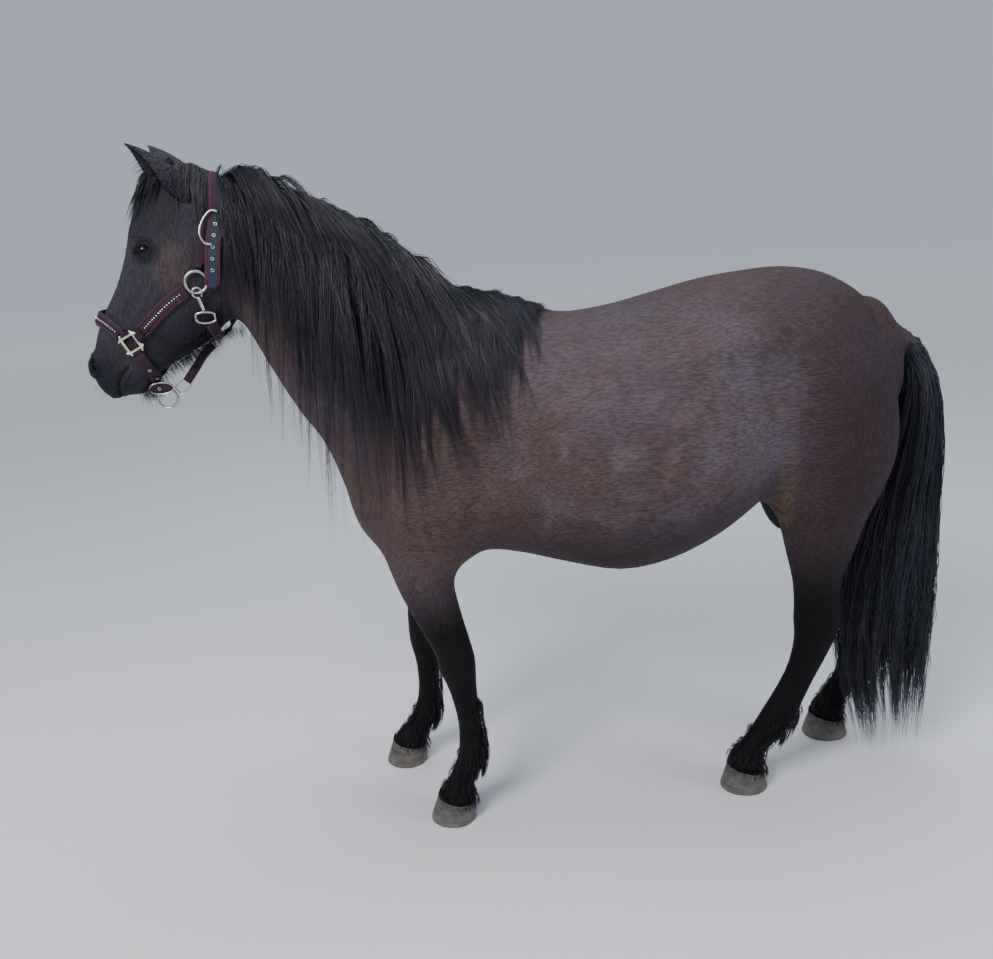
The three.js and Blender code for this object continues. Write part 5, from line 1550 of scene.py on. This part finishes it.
def coat_colour(shader):
    """Markings, with painted sheen on the flank and loin and painted shade under the belly, alike on skin
    and coat.
    """
    spot, parts = shader.position()
    x, _, z = parts
    mottle = shader.noise(spot, 9.0, 4.0, 0.6)
    fine = shader.noise(spot, 60.0, 3.0, 0.6)
    dapple = shader.noise(spot, 24.0, 1.0, 0.4)
    sheen_noise = shader.noise(spot, 11.0, 4.0, 0.65)

    def spots(colour, other, where, detail=1.0):
        return mixed_spots(shader, parts, colour, other, where, detail)

    colour = shader.mix(mottle.ramp(0.35, 0.7), BROWN, RED_BROWN)
    colour = spots(colour, RED_BROWN, [(-110, 680, 230, 240, 0.7)])
    colour = spots(colour, DAPPLE, [(180, 760, 330, 230, 0.4)], dapple.ramp(0.5, 0.68))
    # painted sheen over the flank and the loin, broken up by noise
    sheen_spots = [(440, 800, 130, 200, 0.6), (300, 900, 330, 110, 0.3)]
    colour = spots(colour, PAINTED_SHEEN, sheen_spots, sheen_noise.ramp(0.25, 0.7))
    # painted shade, darker towards the bottom of the barrel from the girth back
    belly_shade = (0.74 - z).ramp(0.0, 0.26) * x.ramp(-0.16, 0.06)
    colour = shader.mix(belly_shade * 0.8, colour, BELLY_SHADE)
    colour = spots(colour, HAUNCH, [(660, 740, 190, 320, 0.9), (560, 950, 150, 110, 0.45)])
    gold = [(508, 640, 26, 130, 0.5), (-60, 560, 80, 30, 0.35), (450, 545, 90, 24, 0.4)]
    colour = spots(colour, GOLD, gold, fine.ramp(0.3, 0.62))
    leg = (0.57 - z).ramp(0.0, 0.17)
    colour = shader.mix(leg * 0.96, colour, BLACK)
    face = (-0.49 - x).ramp(0.0, 0.06)
    colour = shader.mix(face * 0.85, colour, FACE_BROWN)
    colour = spots(colour, CHEEK_BROWN, [(-528, 1110, 44, 80, 0.75)])
    colour = spots(colour, MUZZLE, [
        (-715, 925, 90, 90, 0.9), (-560, 1215, 90, 75, 0.75), (-573, 1145, 34, 28, 0.9),
        (-520, 965, 120, 85, 0.85), (-490, 1010, 70, 70, 0.6)])
    return colour, spot, fine, mottle


def fibres(shader, spot):
    """The grain of the short hair: along the barrel, and down the neck, head and legs."""
    _, parts = shader.position()
    along = shader.noise(shader.stretched(spot, (0.2, 1.0, 0.9)), FIBRE, 2.0, 0.6)
    down = shader.noise(shader.stretched(spot, (1.0, 1.0, 0.2)), FIBRE, 2.0, 0.6)
    upright = ((0.60 - parts[2]).ramp(0.0, 0.1) + (-0.2 - parts[0]).ramp(0.0, 0.15)
               + (parts[0] - 0.48).ramp(0.0, 0.12)).clamped()
    return along * (1.0 - upright) + down * upright


def skin_material():
    shader = Shader("skin")
    colour, spot, fine, mottle = coat_colour(shader)
    grain = fibres(shader, spot)
    folds = shader.noise(spot, 38.0, 3.0, 0.55)
    forms = shader.noise(spot, 11.0, 2.0, 0.45)
    under = shader.bump(folds, 0.25, 0.004, shader.bump(forms, 0.3, 0.014))
    bump = shader.bump(grain, 0.85, 0.0016, under)
    colour = shader.tinted(colour, grain.ramp(0.3, 0.7) * 0.55 + fine * 0.2 + 0.62)
    return shader.finish(Base_Color=colour, Roughness=mottle * 0.16 + 0.54, Normal=bump,
                         Specular_IOR_Level=COAT_GLOSS)


def coat_material():
    shader = Shader("short_coat")
    colour, spot, fine, _ = coat_colour(shader)
    tone = shader.attribute("tone")
    grain = fibres(shader, spot)
    colour = shader.tinted(colour, grain.ramp(0.3, 0.7) * 0.4 + fine * 0.2 + tone * 0.45 + 0.5)
    bump = shader.bump(grain, 0.6, 0.0012)
    return shader.finish(Base_Color=colour, Roughness=tone * 0.14 + 0.54, Normal=bump,
                         Specular_IOR_Level=COAT_GLOSS)


def hair_material(name, root, tip, streak, share):
    """Long hair: darker at the root, with some strands of another tone."""
    shader = Shader(name)
    spot, _ = shader.position()
    tone, along = shader.attribute("tone"), shader.attribute("along")
    colour = shader.mix(along.ramp(0.1, 1.0), root, tip)
    patch = shader.noise(spot, 7.0, 2.0, 0.5).ramp(0.42, 0.62)
    colour = shader.mix(tone.ramp(0.62, 0.95) * patch * share, colour, streak)
    colour = shader.tinted(colour, tone * 0.9 + 0.55)
    return shader.finish(Base_Color=colour, Roughness=tone * 0.16 + 0.34, Specular_IOR_Level=0.32)


def eye_material():
    shader = Shader("eye")
    u, v, out = (shader.attribute(name) for name in ("iris_u", "iris_v", "iris_out"))
    far = u * u + v * v
    pupil = 1.0 - (u * u * 7.5 + v * v * 22.0).ramp(0.75, 1.1)
    spot, _ = shader.position()
    rays = shader.noise(spot, 900.0, 3.0, 0.7)
    iris = shader.mix(rays.ramp(0.3, 0.7), (0.007, 0.004, 0.003), (0.020, 0.010, 0.006))
    colour = shader.mix(far.ramp(0.42, 0.62), iris, (0.008, 0.006, 0.006))
    colour = shader.mix(pupil, colour, (0.001, 0.001, 0.002))
    colour = shader.mix((0.1 - out).ramp(0.0, 0.3), colour, (0.008, 0.006, 0.006))
    return shader.finish(Base_Color=colour, Roughness=0.13, Specular_IOR_Level=0.22, Coat_Weight=0.14,
                         Coat_Roughness=0.03)


def hoof_material():
    shader = Shader("hoof_horn")
    spot, parts = shader.position()
    bands = shader.noise(shader.stretched(spot, (8.0, 8.0, 190.0)), 1.0, 3.0, 0.6)
    grain = shader.noise(shader.stretched(spot, (240.0, 240.0, 30.0)), 1.0, 3.0, 0.6)
    dust = shader.noise(spot, 55.0, 4.0, 0.65)
    colour = shader.mix(bands.ramp(0.35, 0.7), (0.024, 0.022, 0.022), (0.062, 0.057, 0.054))
    low = (0.03 - parts[2]).ramp(-0.012, 0.03)
    colour = shader.mix((dust.ramp(0.35, 0.7) * 0.5 + low * 0.35).clamped(), colour, (0.15, 0.135, 0.115))
    bump = shader.bump(bands, 0.6, 0.0012, shader.bump(grain, 0.4, 0.0005))
    return shader.finish(Base_Color=colour, Roughness=dust * 0.3 + 0.5, Normal=bump)


def webbing_material(name, main, second=None):
    """Woven webbing; the crown strap's second colour is behind above, and between two edges below."""
    shader = Shader(name)
    u, v = shader.attribute("strap_u"), shader.attribute("strap_v")
    warp = (v * 5200.0).math("SINE", v * 5200.0)
    weft = (u * 3100.0).math("SINE", u * 3100.0)
    weave = warp * weft * 0.5 + 0.5
    spot, parts = shader.position()
    wear = shader.noise(spot, 90.0, 4.0, 0.6)
    colour = shader.mix(wear.ramp(0.35, 0.75), main, tuple(1.5 * c + 0.004 for c in main))
    if second:
        edge = v.math("ABSOLUTE", v) * 1000.0
        between = 1.0 - edge.ramp(6.0, 7.0)
        behind = (v * 1000.0).ramp(0.0, 1.0) * (1.0 - edge.ramp(11.6, 12.4))
        high = parts[2].ramp(1.196, 1.202)
        colour = shader.mix(between * (1.0 - high) + behind * high, colour, second)
    colour = shader.tinted(colour, weave * 0.5 + 0.7)
    bump = shader.bump(weave, 0.7, 0.0005)
    return shader.finish(Base_Color=colour, Roughness=wear * 0.2 + 0.58, Normal=bump,
                         Specular_IOR_Level=0.25)


def metal_material(name, colour, roughness):
    shader = Shader(name)
    spot, _ = shader.position()
    marks = shader.noise(spot, 700.0, 4.0, 0.7)
    smears = shader.noise(spot, 120.0, 3.0, 0.6)
    tone = shader.mix(smears.ramp(0.3, 0.7), colour, tuple(0.8 * c for c in colour))
    bump = shader.bump(marks, 0.12, 0.0002)
    return shader.finish(Base_Color=tone, Metallic=1.0, Roughness=smears * 0.16 + roughness, Normal=bump)


def stone_material():
    shader = Shader("cut_stone")
    spot, _ = shader.position()
    glint = shader.noise(spot, 800.0, 1.0, 0.5)
    colour = shader.mix(glint.ramp(0.35, 0.65), (0.9, 0.92, 0.97), (0.55, 0.58, 0.66))
    return shader.finish(Base_Color=colour, Roughness=0.06, Metallic=0.25, Coat_Weight=1.0)


def thread_material():
    shader = Shader("thread")
    spot, _ = shader.position()
    twist = shader.noise(spot, 1500.0, 2.0, 0.6)
    colour = shader.mix(twist.ramp(0.3, 0.7), (0.16, 0.03, 0.055), (0.30, 0.10, 0.14))
    return shader.finish(Base_Color=colour, Roughness=0.6)


def floor_material():
    shader = Shader("studio_floor")
    spot, _ = shader.position()
    cloud = shader.noise(spot, 1.3, 3.0, 0.5)
    away = shader.add("ShaderNodeVectorMath", {"operation": "LENGTH"}, {0: spot}, output="Value")
    colour = shader.mix(cloud, (0.60, 0.61, 0.63), (0.66, 0.67, 0.69))
    colour = shader.mix(away.ramp(2.5, 9.0), colour, (0.97, 0.97, 0.97))
    return shader.finish(Base_Color=colour, Roughness=0.75)


# Making everything
WEAR = {
    "burgundy": webbing_material("burgundy_webbing", (0.022, 0.0075, 0.016)),
    "dark": webbing_material("dark_webbing", (0.011, 0.007, 0.013)),
    "striped": webbing_material("striped_webbing", (0.036, 0.011, 0.025), (0.022, 0.028, 0.054)),
    "padding": webbing_material("slate_padding", (0.020, 0.027, 0.058)),
    "edging": webbing_material("burgundy_edging", (0.040, 0.011, 0.024)),
    "nickel": metal_material("nickel", (0.52, 0.50, 0.47), 0.22),
    "gold": metal_material("pale_gold", (0.86, 0.76, 0.58), 0.20),
    "stone": stone_material(),
    "thread": thread_material()}
STITCH, STONE, EYELET = (tack_tree(*pair) for pair in (
    ("stitches", stitch_form), ("stones", stone_form), ("eyelets", eyelet_form)))


def dress(piece, finish, slot, *nodes):
    """A finished piece: its material, the body it rides on and the solids it stands for; the slot is not
    used.
    """
    if finish is not None:
        piece.data.materials.append(finish)
    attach(piece, "root")
    if nodes:
        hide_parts(*nodes)
    return piece


def edge_stitches(points, level, edges, start=2.0, end=2.0):
    return all_spots(*[spots_on(points, level, e, STITCH_EVERY, start, end) for e in edges])


def make_crown():
    line = over_the_middle(CROWN)
    strap("crown_strap", line, 7.0, -13.5, 13.5, 2.4, "striped", "halter_crown", round_end=True)
    holes = spots_on(CROWN, 9.5, 0.0, 20.0, 30.0, 110.0)
    repeated("crown_eyelets", EYELET, holes, (6.6, 6.6), "nickel", "metal")
    stitches = edge_stitches(line, 9.4, (-11.5, 11.5), 8, 8)
    repeated("crown_stitches", STITCH, stitches, STITCH_SIZE, "thread", "webbing")
    wire("crown_buckle", laid(CROWN_BUCKLE, 12.0), 2.0, "nickel")


def make_cheek(name, side):
    strap(f"cheek_strap_{name}", sided(CHEEK_STRAP, side), 1.5, -10, 10, 2.8, "burgundy",
          f"halter_cheek_{name}")
    strap(f"cheek_keeper_{name}", sided(KEEPER, side), 4.6, -3.5, 3.5, 1.4, "burgundy")
    line = sided(CHEEKPIECE, side)
    strap(f"cheekpiece_{name}", line, 2.6, -11.5, 11.5, 1.6, "burgundy", f"halter_cheekpiece_{name}")
    strap(f"cheekpiece_pad_{name}", line, 1.2, -13.4, 13.4, 1.6, "edging")
    strap(f"cheekpiece_panel_{name}", line, 4.1, -5.5, 5.5, 0.9, "burgundy")
    stones = spots_on(line, 5.2, 0, 5.9, 12, 16)
    stitches = all_spots(edge_stitches(line, 4.5, (-9.8, 9.8)), edge_stitches(line, 5.1, (-4.6, 4.6)))
    return stones, stitches


def make_ring(name, side):
    at = laid(sided([RING_AT], side), RING["wire"] + 1.5)[0]
    normal = slope(plain_body, at[None])[0]
    wire(f"cheek_ring_{name}", circle(at, normal, RING["radius"]), RING["wire"], "nickel",
         f"halter_ring_{name}", closed=True)


def bars(corners):
    return list(zip(corners, corners[1:] + corners[:1]))


def rounded(corners, shares):
    """Places along each bar of a square fitting, which keep off its corners."""
    return [here + (after - here) * t for here, after in bars(corners) for t in shares]


def nearest_bar(corners, end):
    """The middle of the bar of a square fitting that faces the end of a strap."""
    return min([(a + b) / 2 for a, b in bars(corners)], key=lambda middle: np.linalg.norm(middle - end))


def make_square(name, side):
    """A square fitting turned on its corner, with bars that stand past its corners."""
    at = laid(sided([SQUARE["at"]], side), 5.5)[0]
    out = slope(plain_body, at[None])[0]
    down = unit(np.array([-0.35, 0, -0.94]) - out * (np.array([-0.35, 0, -0.94]) @ out))
    over = np.cross(out, down)
    corners = [at + SQUARE["half"] * (a * down + b * over) for a, b in ((1, 0), (0, 1), (-1, 0), (0, -1))]
    wire(f"square_{name}", rounded(corners, (0.08, 0.35, 0.65, 0.92)), SQUARE["wire"], "gold",
         f"halter_square_{name}", closed=True, sides=10, smooth=4)
    for i, end in enumerate((NOSEBAND[0], CHEEKPIECE[-1], LOWER_STRAP[0])):
        end = np.array(sided([end], side)[0], float)
        tab = [end, nearest_bar(corners, end)]
        strap(f"square_{name}_tab_{i}", tab, 4.2, -8.5, 8.5, 3.4, "dark")
    for i, (a, b) in enumerate(((1, 3), (0, 2))):
        for j, corner in enumerate((corners[a], corners[b])):
            away = unit(corner - at)
            turned = np.cross(out, away)
            end = 6.5 * turned
            tips = [corner + 2.5 * away + end, corner + 1.5 * away, corner + 2.5 * away - end]
            wire(f"square_{name}_horn_{i}{j}", tips, 2.1, "gold", sides=10, smooth=4)


def make_noseband():
    line = over_the_middle(NOSEBAND)
    strap("noseband", line, 4.2, -10.5, 10.5, 1.6, "burgundy", "halter_noseband")
    strap("noseband_pad", line, 2.4, -13.6, 12.5, 2.0, "padding")
    stones = all_spots(*[spots_on(row, 6.0, 0, 5.0, 9, 22) for row in (NOSEBAND, mirrored(NOSEBAND))])
    return stones, edge_stitches(line, 5.9, (-9, 9))


def make_chin():
    line = over_the_middle(LOWER_STRAP)
    strap("chin_strap", line, 3.0, -11, 11, 2.6, "burgundy", "halter_chin")
    strap("chin_strap_fold", LOWER_STRAP[:3], 5.8, -11, 11, 2.0, "burgundy")
    hole = spots_on(LOWER_STRAP, 8.2, 0, 30, 34, 6)
    repeated("chin_eyelet", EYELET, hole, (6.5, 6.5), "nickel", "metal")
    make_plate()
    ring = circle(LEAD_RING_AT, (0.05, 1, 0), RING["radius"])
    wire("lead_ring", ring, RING["wire"], "nickel", "halter_lead_ring", closed=True)
    return edge_stitches(line, 5.7, (-9.4, 9.4))


def make_plate():
    """The blank oval plate at the chin, with its rim and its stud."""
    at = np.array(PLATE["at"])
    out = unit(np.array(PLATE["faces"], float))
    along = unit(np.array([1, 0.1, 0.0]) - out * (np.array([1, 0.1, 0.0]) @ out))
    over = np.cross(out, along)
    turn = turns(40)
    oval = PLATE["long"] * np.cos(turn)[:, None] * along + PLATE["high"] * np.sin(turn)[:, None] * over
    rings = [at + share * oval + level * out
             for share, level in ((0.05, 0), (0.85, 0), (0.93, 0.6), (0.93, 1.9), (0.85, 2.6), (0.05, 2.9))]
    points, tris = closed_rings(rings)
    plate = outward(mesh_object("chin_plate", place(points), tris))
    dress(plate, WEAR["burgundy"], "webbing", "halter_chin_plate")
    wire("chin_plate_rim", at + oval[::2] + 1.2 * out, 1.7, "nickel", closed=True, sides=10, smooth=4)
    stud = [np.array([at + 3.2 * out - 3 * along]), out[None], along[None]]
    repeated("chin_plate_eyelet", EYELET, stud, (7.0, 7.0), "nickel", "metal")


def make_throat():
    line = over_the_middle(THROAT_STRAP)
    strap("throat_strap", line, 3.0, -10, 10, 2.6, "burgundy", "halter_throat")
    strap("jaw_strap", JAW_STRAP, 0, -8, 8, 2.6, "burgundy", "halter_jaw", facing=HUNG)
    strap("jaw_strap_fold", JAW_STRAP[2:], 0, -8, 8, 4.6, "burgundy", facing=HUNG)
    flat_link("jaw_link_above", (-497, -3, 973), (-0.75, 0, -0.65), 8, 21)
    flat_link("jaw_link_below", (-568, -2, 895), (-0.8, 0, -0.62), 26, 18)
    edges = all_spots(*[spots_on(JAW_STRAP, 2.8, e, STITCH_EVERY, 3, 14, HUNG) for e in (-6.6, 6.6)])
    return edge_stitches(line, 5.7, (-8.4, 8.4)), edges


def flat_link(name, centre, way, long, wide):
    """A rounded rectangle of wire that hangs with its face to the side of the head."""
    way = unit(np.array(way, float))
    over = np.array([-way[2], 0, way[0]])
    corners = [np.array(centre) + long / 2 * a * way + wide / 2 * b * over
               for a, b in ((1, 1), (1, -1), (-1, -1), (-1, 1))]
    wire(name, rounded(corners, (0.14, 0.4, 0.6, 0.86)), 1.5, "nickel", closed=True, sides=10, smooth=4)


def make_snap(name, side):
    """A swivel snap between the cheek ring and the throat strap, with the loop round the strap."""
    line = laid(sided(SNAP, side), 6.0)
    wire(f"snap_{name}", line, 3.0, "nickel", f"halter_snap_{name}", sides=14, smooth=6)
    hook = laid(sided(SNAP_HOOK, side), 7.0)
    wire(f"snap_hook_{name}", hook, 1.7, "nickel", sides=10, smooth=5)
    loop = laid(sided(SNAP_LOOP, side), 5.5)
    wire(f"snap_loop_{name}", loop, 1.9, "nickel", closed=True, sides=10, smooth=4)


def make_headcollar():
    stones, stitches = [], []
    make_crown()
    for name, side in SIDES:
        more, threads = make_cheek(name, side)
        stones.append(more)
        stitches.append(threads)
        make_ring(name, side)
        make_square(name, side)
        make_snap(name, side)
    more, threads = make_noseband()
    stones.append(more)
    stitches += [threads, make_chin(), *make_throat()]
    repeated("headcollar_stones", STONE, all_spots(*stones), (2.8, 2.8), "stone", "metal")
    repeated("headcollar_stitches", STITCH, all_spots(*stitches), STITCH_SIZE, "thread", "webbing")


FLESH = ["torso", "neck", "head", "ear_left", "ear_right", "tail"]
FLESH += [f"{end}_{part}_{side}" for end in ("fore", "hind") for part in ("leg", "cannon")
          for side in ("left", "right")]


def make_animal():
    points, tris = joined([make_skin(), make_ear(-1), make_ear(1)])
    skin = outward(mesh_object("skin", place(points), tris))
    dress(skin, skin_material(), "coat", *FLESH)
    coat = coat_material()
    for piece in make_coat(points, tris):
        dress(piece, coat, "coat")
    forelock, *beside = make_forelock()
    for name, pieces in (("mane", make_mane()), ("poll", beside), ("tail", make_tail()),
                         ("black", [forelock, *make_feather(), make_fine_hairs()])):
        finish = hair_material(name + "_hair", *HAIR[name])
        for piece in pieces:
            dress(piece, finish, "hair")
    eye, horn = eye_material(), hoof_material()
    for name, side in SIDES:
        dress(outward(make_eye(side)), eye, "eye", f"eye_{name}")
    for spec in HOOVES:
        dress(outward(make_hoof(spec)), horn, "hoof", spec[0])


# Studio and camera, which looks from where the photo was taken
CAMERA = {"height": 1.232, "away": 1.838, "focal": 995.0, "width": 993, "height_px": 959,
          "below": (748.0, 3700.0)}


def make_camera():
    """A camera turned so that the point below the scene falls where it does in the photo."""
    centre = np.array([CAMERA["width"] / 2, CAMERA["height_px"] / 2])
    down = unit(np.array([*(np.array(CAMERA["below"]) - centre), CAMERA["focal"]]))
    up = -down
    ahead = unit(np.array([0, 0, 1.0]) - up[2] * up)
    right = np.cross(ahead, up)
    right = -right if right[0] < 0 else right
    turn = np.array([right, ahead, up])
    world = np.stack([turn[:, 0], -turn[:, 1], -turn[:, 2]], 1)
    data = bpy.data.cameras.new("camera")
    data.sensor_width = 36.0
    data.lens = CAMERA["focal"] / CAMERA["width"] * data.sensor_width
    camera = linked("camera", data)
    matrix = np.eye(4)
    matrix[:3, :3] = world
    matrix[:3, 3] = [-MIDDLE[0] * MM, -CAMERA["away"], CAMERA["height"]]
    camera.matrix_world = Matrix(matrix.tolist())
    bpy.context.scene.camera = camera


# Name, place, size, power in watts and colour
LIGHTS = [
    ("key", (-1.9, -2.8, 3.6), 2.0, 200.0, (1.0, 0.97, 0.94)),
    ("top", (0.4, 0.6, 4.2), 2.6, 66.0, (0.90, 0.95, 1.0)),
    ("side", (3.4, -1.6, 2.0), 1.6, 55.0, (0.88, 0.93, 1.0))]
LIT_HEIGHT = 0.7
FLOOR_REACH = 30.0


def area_light(name, at, size, power, colour):
    data = bpy.data.lights.new(name, "AREA")
    data.shape, data.size, data.energy, data.color = "DISK", size, power, colour
    lamp = linked(name, data)
    lamp.location = at
    aim = -Matrix.Translation(at).translation
    aim.z += LIT_HEIGHT
    lamp.rotation_euler = aim.to_track_quat("-Z", "Y").to_euler()


def make_studio():
    floor = bpy.data.meshes.new("floor")
    corners = [(x * FLOOR_REACH, y * FLOOR_REACH, 0) for x, y in ((-1, -1), (1, -1), (1, 1), (-1, 1))]
    floor.from_pydata(corners, [], [(0, 1, 2, 3)])
    plane = linked("floor", floor)
    plane.data.materials.append(floor_material())
    world = bpy.data.worlds.new("studio")
    world.use_nodes = True
    sky = world.node_tree.nodes["Background"]
    sky.inputs["Color"].default_value = (0.78, 0.86, 1.0, 1.0)
    sky.inputs["Strength"].default_value = 0.55
    bpy.context.scene.world = world
    for light in LIGHTS:
        area_light(*light)


make_camera()
make_studio()
make_animal()
make_headcollar()
